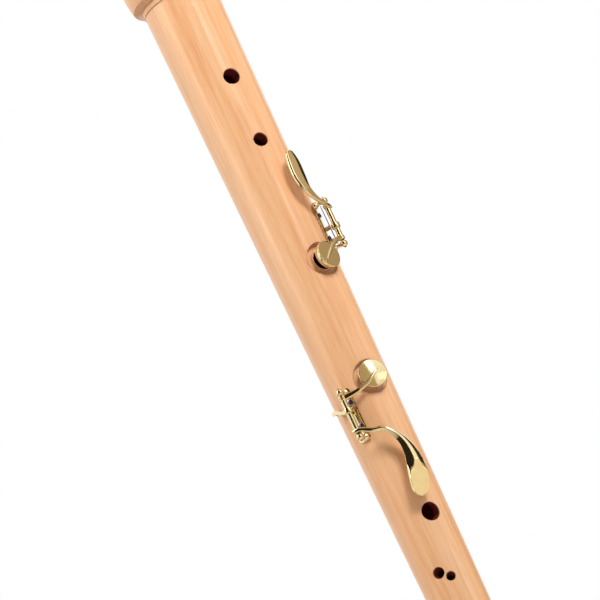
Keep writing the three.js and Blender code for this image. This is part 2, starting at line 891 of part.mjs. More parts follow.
function windwayCutter() {
  const top = capJointZ + head.tenonLength + overrun;
  const roof = head.boreRadius + head.windwayHeight;
  const size = [head.windowWidth, roof, top - windowTopZ + head.windowHeight / 2];
  return block(size, [0, -roof / 2, top - size[2] / 2]);
}

function headJoint() {
  return cut(turned(headOutline()), windowCutter(), windwayCutter());
}

function windwayBlock() {
  const radius = head.boreRadius - gap;
  const top = capJointZ + head.tenonLength;
  const step = head.windwayHeight / 2;
  const body = turned([[0, windowTopZ], [radius - step, windowTopZ], [radius, windowTopZ + step],
    [radius, top], [0, top]], ringSides);
  const floorCut = [head.windowWidth, head.windwayHeight, top - windowTopZ + 2 * overrun];
  const centre = [0, -radius - head.windwayHeight / 2 + step, (top + windowTopZ) / 2];
  return cut(body, block(floorCut, centre));
}

const capLowZ = capJointZ + gap;
const capBarrelTopZ = capLowZ + cap.barrelHeight;
const capNeckZ = capBarrelTopZ + cap.shoulderHeight;
const capTopZ = capNeckZ + cap.neckHeight + cap.neckBeadHeight;
const bushRadius = crook.radius + crook.corkThickness + gap + gap + bush.wall;

function headCap() {
  const socket = socketRadius(head.tenonRadius);
  const outer = socket + cap.wall;
  const chamberLow = capJointZ + head.tenonLength + gap;
  const chamberTop = chamberLow + cap.chamberHeight;
  const bore = bushRadius + gap;
  return turned([
    [socket, capLowZ],
    ...bulge(outer, cap.beadRise, capLowZ, cap.beadHeight),
    ...bulge(outer, cap.beadRise, capBarrelTopZ - cap.beadHeight, cap.beadHeight),
    ...cove(outer, cap.neckRadius, capBarrelTopZ, cap.shoulderHeight).slice(1),
    [cap.neckRadius, capNeckZ + cap.neckHeight],
    ...bulge(cap.neckRadius, cap.neckBeadRise, capNeckZ + cap.neckHeight, cap.neckBeadHeight).slice(1),
    [bore, capTopZ],
    [bore, chamberTop],
    [cap.chamberRadius, chamberTop],
    [cap.chamberRadius, chamberLow],
    [socket, chamberLow],
  ]);
}

function crookBush() {
  const flangeLow = capTopZ + gap;
  const top = flangeLow + bush.flangeHeight;
  const inner = bushRadius - bush.wall;
  return turned([
    [inner, top],
    [inner, top - bush.depth],
    [bushRadius, top - bush.depth],
    [bushRadius, flangeLow],
    [bushRadius + bush.flangeRise, flangeLow],
    [bushRadius + bush.flangeRise, top],
  ], ringSides);
}

const bushTopZ = capTopZ + gap + bush.flangeHeight;
const crookLowZ = bushTopZ - crook.seatDepth;

// The crook's centre line, from its seat up, over and down to the player's mouth
function crookRoute() {
  const top = bushTopZ + crook.riseHeight;
  const points = [new THREE.Vector3(0, 0, crookLowZ), new THREE.Vector3(0, 0, bushTopZ)];
  const bendSteps = 8;
  for (let i = 0; i <= bendSteps; i += 1) {
    const turn = (i / bendSteps) * Math.PI;
    points.push(new THREE.Vector3(
      0, crook.bendRadius * (1 - Math.cos(turn)), top + crook.bendRadius * Math.sin(turn)));
  }
  const drop = new THREE.Vector3(0, 2 * crook.bendRadius, top - crook.dropLength);
  const mouthSteps = 4;
  for (let i = 0; i <= mouthSteps; i += 1) {
    const turn = (i / mouthSteps) * radians(crook.mouthBendAngle);
    points.push(drop.clone().add(new THREE.Vector3(
      0, crook.mouthBendRadius * (1 - Math.cos(turn)), -crook.mouthBendRadius * Math.sin(turn))));
  }
  const last = radians(crook.mouthBendAngle);
  const heading = new THREE.Vector3(0, Math.sin(last), -Math.cos(last));
  points.push(points.at(-1).clone().addScaledVector(heading, crook.mouthLength));
  return new THREE.CatmullRomCurve3(points, false, 'centripetal');
}

function circlePoints(radius, sides) {
  return Array.from({ length: sides }, (_, i) => {
    const turn = (i / sides) * 2 * Math.PI;
    return new THREE.Vector2(radius * Math.cos(turn), radius * Math.sin(turn));
  });
}

function crookTube() {
  const section = new THREE.Shape(circlePoints(crook.radius, wireSides));
  section.holes.push(new THREE.Path(circlePoints(crook.radius - crook.wall, wireSides)));
  const settings = { steps: crook.steps, bevelEnabled: false, extrudePath: crookRoute() };
  return solid(new THREE.ExtrudeGeometry(section, settings));
}

function crookSleeve(thickness, low, height) {
  const inner = crook.radius + gap;
  const outer = inner + thickness;
  return turned([[inner, low], [outer, low], [outer, low + height], [inner, low + height]], ringSides);
}

// Fittings on the back

// Plate that lies on the wood at the back
function backPlate({ angle, aboveJoint, halfAngle, height, thickness }) {
  const z = lowerJointZ + aboveJoint;
  return skin(middleRadius, [angle - halfAngle, angle + halfAngle],
    [z - height / 2, z + height / 2], gap, thickness);
}

// Turns a body that was built straight behind the bore round to its plate's angle
function toPlate({ angle }, body) {
  return body.rotate([0, 0, angle - backAngle]);
}

function thumbHook() {
  const root = middleRadius(thumbRestZ) + 2 * gap;
  const tip = root + thumbRest.shelfReach;
  const shelf = block(
    [thumbRest.shelfWidth, thumbRest.shelfReach, thumbRest.shelfThickness],
    [0, (root + tip) / 2, thumbRestZ]);
  const lip = block(
    [thumbRest.shelfWidth, thumbRest.shelfThickness, thumbRest.lipHeight + thumbRest.shelfThickness],
    [0, tip - thumbRest.shelfThickness / 2, thumbRestZ - thumbRest.lipHeight / 2]);
  const whole = joined(backPlate(thumbRest), toPlate(thumbRest, joined(shelf, lip)));
  return cut(whole, ...backScrewPlaces(thumbRest).map(pilotHole));
}

const eyeAxisY = middleRadius(strapZ) + strap.eyeReach;

function strapPlate() {
  const half = strap.eyeWidth / 2;
  const across = (x) => new THREE.Vector3(x, eyeAxisY, strapZ);
  const eye = bar(across(-half), across(half), strap.eyeRadius, ringSides);
  const rootY = middleRadius(strapZ) + 2 * gap;
  const root = block(
    [strap.eyeWidth, eyeAxisY - rootY, strap.eyeRadius], [0, (eyeAxisY + rootY) / 2, strapZ]);
  const hole = bar(across(-overrun), across(overrun), strap.eyeHoleRadius);
  const wood = skin(middleRadius, [backAngle - strap.halfAngle, backAngle + strap.halfAngle],
    [strapZ - strap.height, strapZ + strap.height], -overrun, overrun + gap);
  const lug = cut(joined(root, eye), hole, wood);
  return cut(joined(backPlate(strap), toPlate(strap, lug)), ...backScrewPlaces(strap).map(pilotHole));
}

function strapRing() {
  const geometry = new THREE.TorusGeometry(strap.ringRadius, strap.wireRadius, wireSides, ringSides);
  geometry.rotateX(Math.PI / 2);
  return toPlate(strap, solid(geometry.translate(0, eyeAxisY, strapZ - strap.ringRadius)));
}

// Finishes

const finishes = {
  wood: { color: 0xe8b583, roughness: 0.45, metalness: 0 },
  cedar: { color: 0xa05a3a, roughness: 0.7, metalness: 0 },
  gold: { color: 0xe0c078, roughness: 0.15, metalness: 1 },
  brass: { color: 0xd2b062, roughness: 0.2, metalness: 1 },
  steel: { color: 0x27304a, roughness: 0.25, metalness: 1 },
  cork: { color: 0xb98a5c, roughness: 0.9, metalness: 0 },
  padLeather: { color: 0xe9e2d4, roughness: 0.8, metalness: 0 },
};

const recorder = new THREE.Group();

function addPiece(name, finish, body, parent = recorder) {
  const mesh = new THREE.Mesh(geometryOf(body), new THREE.MeshStandardMaterial(finishes[finish]));
  mesh.name = name;
  parent.add(mesh);
}

addPiece('foot_joint', 'wood', footJoint());
addPiece('middle_joint', 'wood', middleJoint());
addPiece('head_joint', 'wood', headJoint());
addPiece('windway_block', 'cedar', windwayBlock());
addPiece('head_cap', 'wood', headCap());
addPiece('lower_tenon_cork', 'cork', lappingCork(
  middle.lowTenonRadius, lowerJointZ - middle.lowTenonLength, middle.lowTenonLength));
addPiece('upper_tenon_cork', 'cork', lappingCork(
  middle.topTenonRadius, upperJointZ, middle.topTenonLength));
addPiece('cap_tenon_cork', 'cork', lappingCork(head.tenonRadius, capJointZ, head.tenonLength));
addPiece('crook_bush', 'brass', crookBush());
addPiece('crook_tube', 'brass', crookTube());
addPiece('crook_cork', 'cork', crookSleeve(
  crook.corkThickness - gap, crookLowZ + crook.tipLength, crook.corkLength));
addPiece('crook_collar', 'brass', crookSleeve(crook.collarRise, bushTopZ + gap, crook.collarHeight));
addPiece('thumb_rest', 'gold', thumbHook());
addPiece('strap_ring_plate', 'gold', strapPlate());
addPiece('strap_ring', 'gold', strapRing());

const backPlates = { thumb_rest: thumbRest, strap_ring: strap };
for (const [name, plate] of Object.entries(backPlates)) {
  backScrewPlaces(plate).forEach((at, i) => {
    addPiece(`${name}_screw_${i + 1}`, 'gold', plateScrew(at));
  });
}

for (const spec of keySpecs) {
  const { name } = spec;
  addPiece(`${name}_saddle`, 'gold', keySaddle(spec));
  addPiece(`${name}_hinge_rod`, 'steel', keyRod(spec));
  addPiece(`${name}_lever`, 'gold', keyLever(spec));
  addPiece(`${name}_pad_cup`, 'gold', keyCup(spec));
  addPiece(`${name}_pad`, 'padLeather', keyPad(spec));
  addPiece(`${name}_spring`, 'steel', keySpring(spec));
  addPiece(`${name}_tail_cork`, 'cork', keyTailCork(spec));
  addPiece(`${name}_bumper_cork`, 'cork', keyBumperCork(spec));
  keyScrewPlaces(spec).forEach((at, i) => {
    addPiece(`${name}_saddle_screw_${i + 1}`, 'steel', plateScrew(at));
  });
}

export default recorder;
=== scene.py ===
import logging
import math
from collections.abc import Callable
from dataclasses import dataclass
from enum import Enum

import bmesh
import bpy
import numpy as np
from mathutils import Matrix, Vector


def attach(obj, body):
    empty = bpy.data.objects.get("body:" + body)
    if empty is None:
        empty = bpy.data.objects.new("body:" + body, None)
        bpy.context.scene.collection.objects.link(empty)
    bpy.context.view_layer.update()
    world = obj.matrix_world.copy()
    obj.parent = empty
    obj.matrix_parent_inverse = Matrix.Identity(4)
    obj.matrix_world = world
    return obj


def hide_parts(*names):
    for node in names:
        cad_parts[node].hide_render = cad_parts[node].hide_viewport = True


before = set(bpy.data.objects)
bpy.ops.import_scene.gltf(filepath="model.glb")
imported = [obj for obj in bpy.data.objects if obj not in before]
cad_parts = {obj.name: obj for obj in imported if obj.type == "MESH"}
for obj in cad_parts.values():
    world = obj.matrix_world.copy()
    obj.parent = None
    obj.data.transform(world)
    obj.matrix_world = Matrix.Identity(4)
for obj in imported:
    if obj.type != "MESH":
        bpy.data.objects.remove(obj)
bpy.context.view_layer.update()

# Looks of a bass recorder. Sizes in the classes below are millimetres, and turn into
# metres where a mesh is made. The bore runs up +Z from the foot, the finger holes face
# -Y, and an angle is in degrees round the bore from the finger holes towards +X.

log = logging.getLogger("recorder")

Array = np.ndarray
Pair = tuple[float, float]
Outline = list[Pair]
Triple = tuple[float, float, float]
Colour = Triple
Window = tuple[float, float, float, float]
Edge = tuple[Array, Array] | Array
Socket = bpy.types.NodeSocket

# Metres in a millimetre, decimals that welded points share, heights of the three joints' upper
# ends, play between parts that fit together, how deep a pad's seat is sunk, the angle from which
# edges stay sharp, and the flat band of a lever with the fall beside it.
MM = 0.001
WELD_DIGITS = 4
FOOT_TOP = 215.0
MIDDLE_TOP = 605.0
HEAD_TOP = 960.0
CLEARANCE = 0.3
SEAT_DEPTH = 3.0
CREASE = 38.0
FLAT_BAND = (-0.38, 0.38)
BAND_FALL = 1.5


# Shapes


def turns(sides: int) -> Array:
    """Angles in radians, evenly round a circle from zero."""
    return np.arange(sides) * 2 * np.pi / sides


def circle(sides: int, radius: float = 1.0) -> Array:
    """Points of a circle about the origin."""
    t = turns(sides)
    return radius * np.stack([np.cos(t), np.sin(t)], -1)


def spin(degrees: float) -> Array:
    """Matrix that turns rows of points about z, from x towards y."""
    cos, sin = math.cos(math.radians(degrees)), math.sin(math.radians(degrees))
    return np.array([[cos, sin, 0], [-sin, cos, 0], [0, 0, 1]])


def polar(angle: Array, radius: Array, z: Array) -> Array:
    """Points round the bore: x = r sin a, y = -r cos a.

    Args:
        angle: Degrees from the line of finger holes.
        radius: Distance from the bore's axis.
        z: Height over the foot's end.

    Returns:
        Points, with the three coordinates last.
    """
    a = np.radians(angle)
    return np.stack(np.broadcast_arrays(radius * np.sin(a), -radius * np.cos(a), z), -1)


def direction(azimuth: float, elevation: float) -> Array:
    """Unit vector at an angle round the bore and an angle over the horizon."""
    e = math.radians(elevation)
    return polar(azimuth, math.cos(e), math.sin(e))


def stood(points: Array, angle: float, radius: float, z: float) -> Array:
    """Puts a shape on the instrument: its x goes round, its y up, and its z outwards.

    Args:
        points: The shape about its own origin.
        angle: Angle of the place.
        radius: Distance of the place from the bore's axis.
        z: Height of the place.

    Returns:
        The same points at that place.
    """
    a = math.radians(angle)
    axes = np.array([[math.cos(a), math.sin(a), 0], [0, 0, 1], [math.sin(a), -math.cos(a), 0]])
    return polar(angle, radius, z) + points @ axes


def lathe(profile: Outline | Array, sides: int) -> Array:
    """Turns a profile of radius r and height h: x = r cos t, y = r sin t, z = h.

    Args:
        profile: Pairs of radius and height.
        sides: Points round each ring.

    Returns:
        Grid of points, one ring for each pair.
    """
    pairs = np.asarray(profile, float)
    flat = pairs[:, :1, None] * circle(sides)
    height = np.broadcast_to(pairs[:, 1:, None], (len(pairs), sides, 1))
    return np.concatenate([flat, height], -1)


def mirrored(profile: Outline) -> Outline:
    """The same pairs with the heights' signs changed, in the other order."""
    return [(radius, -z) for radius, z in profile[::-1]]


def rounded(outline: Outline | Array, radius: float, steps: int = 4, closed: bool = False) -> Array:
    """Rounds each corner P to the curve (1-t)(1-t)A + 2t(1-t)P + ttB between points A and B
    on its two sides, which lie at the radius from P, or at 0.45 of a shorter side.

    Args:
        outline: Corners, as rows.
        radius: How far from a corner the rounding starts.
        steps: Steps of each rounding.
        closed: Whether the last corner joins the first.

    Returns:
        Points of the rounded outline.
    """
    points = np.asarray(outline, float)

    def towards(side: Array) -> Array:
        """Point on a side, measured from its corner."""
        length = np.linalg.norm(side, axis=1, keepdims=True)
        return points + side * np.minimum(radius, 0.45 * length) / np.maximum(length, 1e-9)

    start = towards(np.roll(points, 1, 0) - points)[:, None]
    end = towards(np.roll(points, -1, 0) - points)[:, None]
    t = np.linspace(0, 1, steps + 1)[None, :, None]
    curves = (1 - t) ** 2 * start + 2 * t * (1 - t) * points[:, None] + t**2 * end
    if not closed:
        curves[0], curves[-1] = points[0], points[-1]
    return curves.reshape(-1, points.shape[1])


def smooth(rows: Array | list, count: int) -> Array:
    """Catmull-Rom curve through rows of numbers, spaced evenly from row to row.

    Args:
        rows: The rows that the curve goes through.
        count: How many rows come back.

    Returns:
        Rows on the curve, the first and last unchanged.
    """
    known = np.asarray(rows, float)
    padded = np.vstack([2 * known[0] - known[1], known, 2 * known[-1] - known[-2]])
    at = np.linspace(0, len(known) - 1, count)
    i = np.minimum(at.astype(int), len(known) - 2)
    t = (at - i)[:, None]
    a, b, c, d = (padded[i + k] for k in range(4))
    return 0.5 * (2 * b + (c - a) * t + (2 * a - 5 * b + 4 * c - d) * t**2
                  + (3 * b - a - 3 * c + d) * t**3)


def carried(path: Array, up: Array, section: Array) -> Array:
    """Carries a section along a path: P = path + x * across + y * up, with across square to both.

    Args:
        path: Points of the path.
        up: Direction that the section's y takes, for each point or for all.
        section: x and y of the section's points, for each point or for all.

    Returns:
        Grid of points, one ring for each point of the path.
    """
    along = np.gradient(path, axis=0)
    across = np.cross(along, np.broadcast_to(up, path.shape))
    across /= np.linalg.norm(across, axis=1, keepdims=True)
    lift = np.cross(across, along)
    lift /= np.linalg.norm(lift, axis=1, keepdims=True)
    shape = np.broadcast_to(section, (len(path), *np.shape(section)[-2:]))
    return path[:, None] + shape[..., :1] * across[:, None] + shape[..., 1:] * lift[:, None]


def capped(rings: Array) -> Array:
    """Closes both ends of a row of rings with a point at their middle."""
    low, high = (np.broadcast_to(ring.mean(0), ring.shape)[None] for ring in (rings[0], rings[-1]))
    return np.concatenate([low, rings, high])


def loop(width: float, height: float, corner: float, steps: int = 6) -> Array:
    """Points of a rounded rectangle's edge, about the origin."""
    x, y = width / 2, height / 2
    return rounded([(-x, -y), (x, -y), (x, y), (-x, y)], corner, steps, closed=True)


def torus(radius: float, half: Pair, sides: int, round_sides: int) -> list[Array]:
    """A ring of wire, turned about the third coordinate.

    Args:
        radius: Radius of the wire's middle.
        half: Half thickness of the wire outwards and along the third coordinate.
        sides: Points round the ring.
        round_sides: Points round the wire.

    Returns:
        Three coordinates, each a grid.
    """
    t, s = turns(sides), turns(round_sides)[:, None]
    tube = radius + half[0] * np.cos(s)
    return np.broadcast_arrays(tube * np.cos(t), tube * np.sin(t), half[1] * np.sin(s))


def laid(edge: Array, angle: float, z: float, surface: Callable, thickness: float,
         bevel: float) -> Array:
    """A plate bent over the wood: each ring is the edge shrunk about its middle, at a height over
    the wood that rises, rounds over by the bevel, and runs level to the middle.

    Args:
        edge: Outline in millimetres round and along the tube.
        angle: Angle of the plate's middle.
        z: Height of the plate's middle.
        surface: Radius of the wood at a height.
        thickness: Thickness of the plate.
        bevel: Rounding of its top edge.

    Returns:
        Grid of points, from the middle of its underside to the middle of its top.
    """
    t = np.linspace(0, np.pi / 2, 5)
    half = np.abs(edge).max()
    inset = bevel * (1 - np.cos(t)) / half
    shrink = np.concatenate([[0, 0.5], [1 - 0.1 * bevel / half], 1 - inset, [0.8, 0.5, 0.25, 0]])
    rise = np.concatenate([[0, 0, 0], thickness - bevel * (1 - np.sin(t)), [thickness] * 4])
    flat = edge[None] * shrink[:, None, None]
    height = z + flat[..., 1]
    radius = surface(height) + CLEARANCE + rise[:, None]
    return polar(angle + np.degrees(flat[..., 0] / surface(z)), radius, height)


class Shape:
    """A mesh in the making: grids of points that are welded where they meet."""

    def __init__(self) -> None:
        """Starts with nothing."""
        self.points: list[Array] = []
        self.corners: list[Array] = []
        self.depths: list[Array] = []
        self.count = 0

    def add(self, grid: Array, round_rows: bool = False, round_columns: bool = True,
            depth: Array | float = 0.0, keep: Array | None = None) -> "Shape":
        """Adds a grid as a skin of triangles.

        Args:
            grid: Points, as rows and columns.
            round_rows: Whether the last row joins the first.
            round_columns: Whether the last column joins the first.
            depth: How deep in a hole each point lies, from 0 to 1, which sets the wood's painted
                shade.
            keep: Which cells of the grid are filled, where not all are.

        Returns:
            This shape.
        """
        rows, columns = grid.shape[:2]
        ids = np.arange(rows * columns).reshape(rows, columns) + self.count
        ids = np.vstack([ids, ids[:1]]) if round_rows else ids
        ids = np.hstack([ids, ids[:, :1]]) if round_columns else ids
        cells = np.stack([ids[:-1, :-1], ids[:-1, 1:], ids[1:, 1:], ids[1:, :-1]], -1)
        cells = cells.reshape(-1, 4) if keep is None else cells[keep]
        self.points.append(grid.reshape(-1, 3))
        self.corners.append(np.concatenate([cells[:, [0, 1, 2]], cells[:, [0, 2, 3]]]))
        self.depths.append(np.broadcast_to(depth, (rows, columns)).ravel())
        self.count += rows * columns
        return self

    def mesh(self, name: str, crease: float) -> bpy.types.Mesh:
        """Welds the grids, turns the faces outwards and makes the mesh.

        Args:
            name: Name of the mesh.
            crease: Angle in degrees from which an edge stays sharp.

        Returns:
            The mesh, in metres.
        """
        points = np.concatenate(self.points)
        _, first, where = np.unique(
            np.round(points, WELD_DIGITS), axis=0, return_index=True, return_inverse=True)
        corners = where.ravel()[np.concatenate(self.corners)]
        a, b, c = corners.T
        corners = corners[(a != b) & (b != c) & (c != a)]
        mesh = bpy.data.meshes.new(name)
        mesh.from_pydata((points[first] * MM).tolist(), [], corners.tolist())
        # The depth attribute carries the painted shade of the holes to the wood.
        depth = mesh.attributes.new("depth", "FLOAT", "POINT")
        depth.data.foreach_set("value", np.concatenate(self.depths)[first].astype(np.float32))
        skin = bmesh.new()
        skin.from_mesh(mesh)
        bmesh.ops.recalc_face_normals(skin, faces=skin.faces)
        skin.to_mesh(mesh)
        skin.free()
        mesh.shade_smooth()
        mesh.set_sharp_from_angle(angle=math.radians(crease))
        return mesh


# Finishes


class Slot(Enum):
    """Material slots of the record."""

    WOOD = "fruit_wood"
    CEDAR = "cedar"
    GOLD = "gold_plate"
    BRASS = "crook_brass"
    STEEL = "blued_steel"
    CORK = "cork"
    LEATHER = "pad_leather"


class Nodes:
    """Fills an empty tree of shader nodes."""

    def __init__(self, tree: bpy.types.NodeTree) -> None:
        """Empties the tree."""
        self.tree = tree
        self.tree.nodes.clear()

    def fill(self, target: Socket, value: float | tuple | Socket) -> None:
        """Gives a socket a plain value, or joins it to another socket."""
        if isinstance(value, Socket):
            self.tree.links.new(value, target)
        elif isinstance(value, tuple) and target.type == "RGBA":
            target.default_value = (*value, 1)
        else:
            target.default_value = value

    def node(self, kind: str, links: dict | None = None, **values: object) -> bpy.types.Node:
        """Adds a node.

        Args:
            kind: Blender's name for the node, without ShaderNode.
            links: What its inputs take, by name or number.
            values: Its settings, or values of its inputs.

        Returns:
            The node.
        """
        made = self.tree.nodes.new("ShaderNode" + kind)
        for name, value in values.items():
            if hasattr(made, name):
                setattr(made, name, value)
            else:
                self.fill(made.inputs[name.replace("_", " ")], value)
        for name, value in (links or {}).items():
            self.fill(made.inputs[name], value)
        return made

    def sum(self, operation: str, first: Socket, second: Socket | float) -> Socket:
        """Arithmetic on two values."""
        return self.node("Math", {0: first, 1: second}, operation=operation).outputs[0]


class Mixer(Nodes):
    """Builds the nodes of one material."""

    def __init__(self, name: str) -> None:
        """Starts a material with one surface shader."""
        self.material = bpy.data.materials.new(name)
        self.material.use_nodes = True
        super().__init__(self.material.node_tree)
        self.shader = self.node("BsdfPrincipled")
        self.node("OutputMaterial", {"Surface": self.shader.outputs["BSDF"]})

    def set(self, **values: float | tuple | Socket) -> None:
        """Sets or feeds sockets of the shader, with _ for a space in their names."""
        for name, value in values.items():
            self.fill(self.shader.inputs[name.replace("_", " ")], value)

    def place(self, scale: Triple) -> Socket:
        """Object coordinates, scaled along each axis."""
        where = self.node("TexCoord").outputs["Object"]
        return self.node("Mapping", {"Vector": where}, Scale=scale).outputs["Vector"]

    def noise(self, scale: Triple, detail: float, rough: float = 0.5, bend: float = 0.0) -> Socket:
        """Noise from 0 to 1.

        Args:
            scale: Waves per metre along each axis.
            detail: Octaves.
            rough: Strength of the finer octaves.
            bend: How far the pattern is pushed about by itself.

        Returns:
            The noise's value.
        """
        made = self.node("TexNoise", {"Vector": self.place(scale)}, Scale=1.0, Detail=detail,
                         Roughness=rough, Distortion=bend)
        return made.outputs["Fac"]

    def ramp(self, value: Socket, stops: dict[float, Colour]) -> Socket:
        """Colour for a value from 0 to 1, from colours by their place on the ramp."""
        made = self.node("ValToRGB", {"Fac": value})
        places = made.color_ramp.elements
        while len(places) < len(stops):
            places.new(0.5)
        for element, (at, colour) in zip(places, sorted(stops.items())):
            element.position, element.color = at, (*colour, 1)
        return made.outputs["Color"]

    def span(self, value: Socket, low: float, high: float, start: float = 0.0,
             end: float = 1.0) -> Socket:
        """Stretches a value from the range low..high to start..end, and stops at the ends."""
        names = ("From Min", "From Max", "To Min", "To Max")
        links = {"Value": value, **dict(zip(names, (low, high, start, end)))}
        return self.node("MapRange", links).outputs["Result"]

    def blend(self, share: Socket, first: Socket, second: Colour | Socket,
              way: str = "MIX") -> Socket:
        """Mixes two colours.

        Args:
            share: How much of the second shows.
            first: First colour.
            second: Second colour, plain or from a node.
            way: How they mix.

        Returns:
            The colour.
        """
        made = self.node("Mix", {"Factor": share}, data_type="RGBA", blend_type=way)
        self.fill(made.inputs["A"], first)
        self.fill(made.inputs["B"], second)
        return made.outputs["Result"]

    def bump(self, height: Socket, strength: float, distance: float) -> None:
        """Bumps the surface by a height, in metres at full strength."""
        made = self.node("Bump", {"Height": height}, Strength=strength, Distance=distance)
        self.set(Normal=made.outputs["Normal"])


@dataclass(frozen=True)
class WoodFinish:
    """Light fruitwood, oiled and polished: fine straight grain along the bore, soft broad
    streaks, small flecks, and painted shade that turns it dark down in the holes and the bore."""

    name: str = "Fruit wood"
    pale: Colour = (0.95, 0.65, 0.405)
    mid: Colour = (0.91, 0.54, 0.29)
    deep: Colour = (0.80, 0.40, 0.185)
    # Painted shade: hole is the near black just down in a hole, and bore the dark red deep inside.
    hole: Colour = (0.030, 0.004, 0.003)
    bore: Colour = (0.42, 0.06, 0.045)
    roughness: Pair = (0.36, 0.48)
    coat: float = 0.45
    coat_roughness: float = 0.14

    def material(self) -> bpy.types.Material:
        """Makes the material, on Object coordinates and the depth attribute."""
        mix = Mixer(self.name)
        broad = mix.noise((90, 90, 6), 2.0, 0.5, 0.5)
        streak = mix.noise((420, 420, 13), 4.0, 0.6, 0.4)
        fine = mix.noise((1900, 1900, 42), 2.0, 0.6)
        fleck = mix.noise((900, 900, 120), 1.0)
        tone = mix.sum("ADD", mix.sum("MULTIPLY", broad, 0.45), mix.sum("MULTIPLY", streak, 0.55))
        colour = mix.ramp(mix.span(tone, 0.3, 0.72), {0: self.deep, 0.42: self.mid, 1: self.pale})
        lines = mix.span(fine, 0.3, 0.75, 0.0, 0.3)
        colour = mix.blend(lines, colour, self.deep, "MULTIPLY")
        spots = mix.span(fleck, 0.6, 0.74, 0.0, 0.34)
        colour = mix.blend(spots, colour, self.deep)
        # Painted shade: by the depth attribute the wood turns into the hole's and the bore's dark
        # colours.
        depth = mix.node("Attribute", attribute_name="depth").outputs["Fac"]
        inside = mix.ramp(depth, {0.4: self.hole, 1: self.bore})
        mix.bump(fine, strength=0.12, distance=0.0002)
        mix.set(Base_Color=mix.blend(mix.span(depth, 0.0, 0.6), colour, inside),
                Roughness=mix.span(streak, 0.3, 0.7, *self.roughness), Specular_IOR_Level=0.4,
                Coat_Weight=self.coat, Coat_Roughness=self.coat_roughness)
        return mix.material


@dataclass(frozen=True)
class MetalFinish:
    """Polished metal: one colour that shifts a little, and faint rubbing marks."""

    name: str
    light: Colour
    dark: Colour
    roughness: Pair = (0.07, 0.16)
    marks: float = 0.05

    def material(self) -> bpy.types.Material:
        """Makes the material, on Object coordinates."""
        mix = Mixer(self.name)
        cloud = mix.noise((160, 160, 160), 3.0)
        mix.bump(mix.noise((2600, 2600, 700), 2.0, 0.6), self.marks, distance=0.0001)
        mix.set(Base_Color=mix.ramp(cloud, {0.3: self.dark, 0.7: self.light}), Metallic=1.0,
                Roughness=mix.span(cloud, 0.35, 0.7, *self.roughness))
        return mix.material


@dataclass(frozen=True)
class CorkFinish:
    """Cork: pale and brown cells with dark specks, dull and pitted."""

    name: str = "Cork"
    pale: Colour = (0.52, 0.29, 0.15)
    brown: Colour = (0.33, 0.15, 0.065)
    speck: Colour = (0.07, 0.03, 0.015)
    roughness: float = 0.85

    def material(self) -> bpy.types.Material:
        """Makes the material, on Object coordinates."""
        mix = Mixer(self.name)
        cells = mix.node("TexVoronoi", {"Vector": mix.place((1500, 1500, 1500))}, Scale=1.0)
        distance = cells.outputs["Distance"]
        colour = mix.ramp(mix.noise((600, 600, 600), 3.0), {0.3: self.brown, 0.65: self.pale})
        specks = mix.span(distance, 0.08, 0.24, 1.0, 0.0)
        mix.bump(distance, strength=0.5, distance=0.0003)
        mix.set(Base_Color=mix.blend(specks, colour, self.speck), Roughness=self.roughness)
        return mix.material


@dataclass(frozen=True)
class GrainFinish:
    """One dull material with a grain between two colours: leather with fine creases, or cedar
    with straight open grain. The ends are where on the grain the dark and the light colour lie,
    and the bump is its strength and its height in metres."""

    name: str
    light: Colour
    dark: Colour
    waves: Triple
    detail: float
    bend: float
    ends: Pair
    bump: Pair
    roughness: float

    def material(self) -> bpy.types.Material:
        """Makes the material, on Object coordinates."""
        mix = Mixer(self.name)
        grain = mix.noise(self.waves, self.detail, 0.6, self.bend)
        mix.bump(grain, *self.bump)
        colour = mix.ramp(grain, dict(zip(self.ends, (self.dark, self.light))))
        mix.set(Base_Color=colour, Roughness=self.roughness)
        return mix.material


FINISHES = {
    Slot.WOOD: WoodFinish(),
    Slot.CEDAR: GrainFinish("Cedar", (0.44, 0.17, 0.08), (0.25, 0.08, 0.035),
                            waves=(900, 900, 14), detail=3.0, bend=0.3, ends=(0.35, 0.62),
                            bump=(0.2, 0.0002), roughness=0.7),
    Slot.GOLD: MetalFinish("Gold plate", (0.93, 0.77, 0.46), (0.88, 0.70, 0.38)),
    Slot.BRASS: MetalFinish("Crook brass", (0.86, 0.66, 0.32), (0.80, 0.58, 0.25), (0.12, 0.24)),
    Slot.STEEL: MetalFinish("Blued steel", (0.15, 0.14, 0.29), (0.07, 0.065, 0.15), (0.12, 0.22)),
    Slot.CORK: CorkFinish(),
    Slot.LEATHER: GrainFinish("Pad leather", (0.74, 0.55, 0.36), (0.55, 0.37, 0.21),
                              waves=(2200, 2200, 2200), detail=4.0, bend=0.5, ends=(0.35, 0.6),
                              bump=(0.3, 0.0001), roughness=0.6),
}
MATERIALS = {slot: finish.material() for slot, finish in FINISHES.items()}


def placed(name: str, data: bpy.types.ID) -> bpy.types.Object:
    """Puts a mesh, a lamp or a camera into the scene."""
    thing = bpy.data.objects.new(name, data)
    bpy.context.scene.collection.objects.link(thing)
    return thing


def make(name: str, shape: Shape, slot: Slot, body: str, *nodes: str,
         crease: float = CREASE) -> bpy.types.Object:
    """Makes a piece, dresses it and lets it ride on its body.

    Args:
        name: Name of the piece.
        shape: Its grids.
        slot: Its finish.
        body: CAD body that it moves with.
        nodes: CAD nodes that it stands for.
        crease: Angle from which its edges stay sharp.

    Returns:
        The piece.
    """
    piece = placed(name, shape.mesh(name, crease))
    piece.data.materials.append(MATERIALS[slot])
    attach(piece, body)
    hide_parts(*nodes)
    log.info("%s: %d triangles on %s", name, len(piece.data.polygons), body)
    return piece


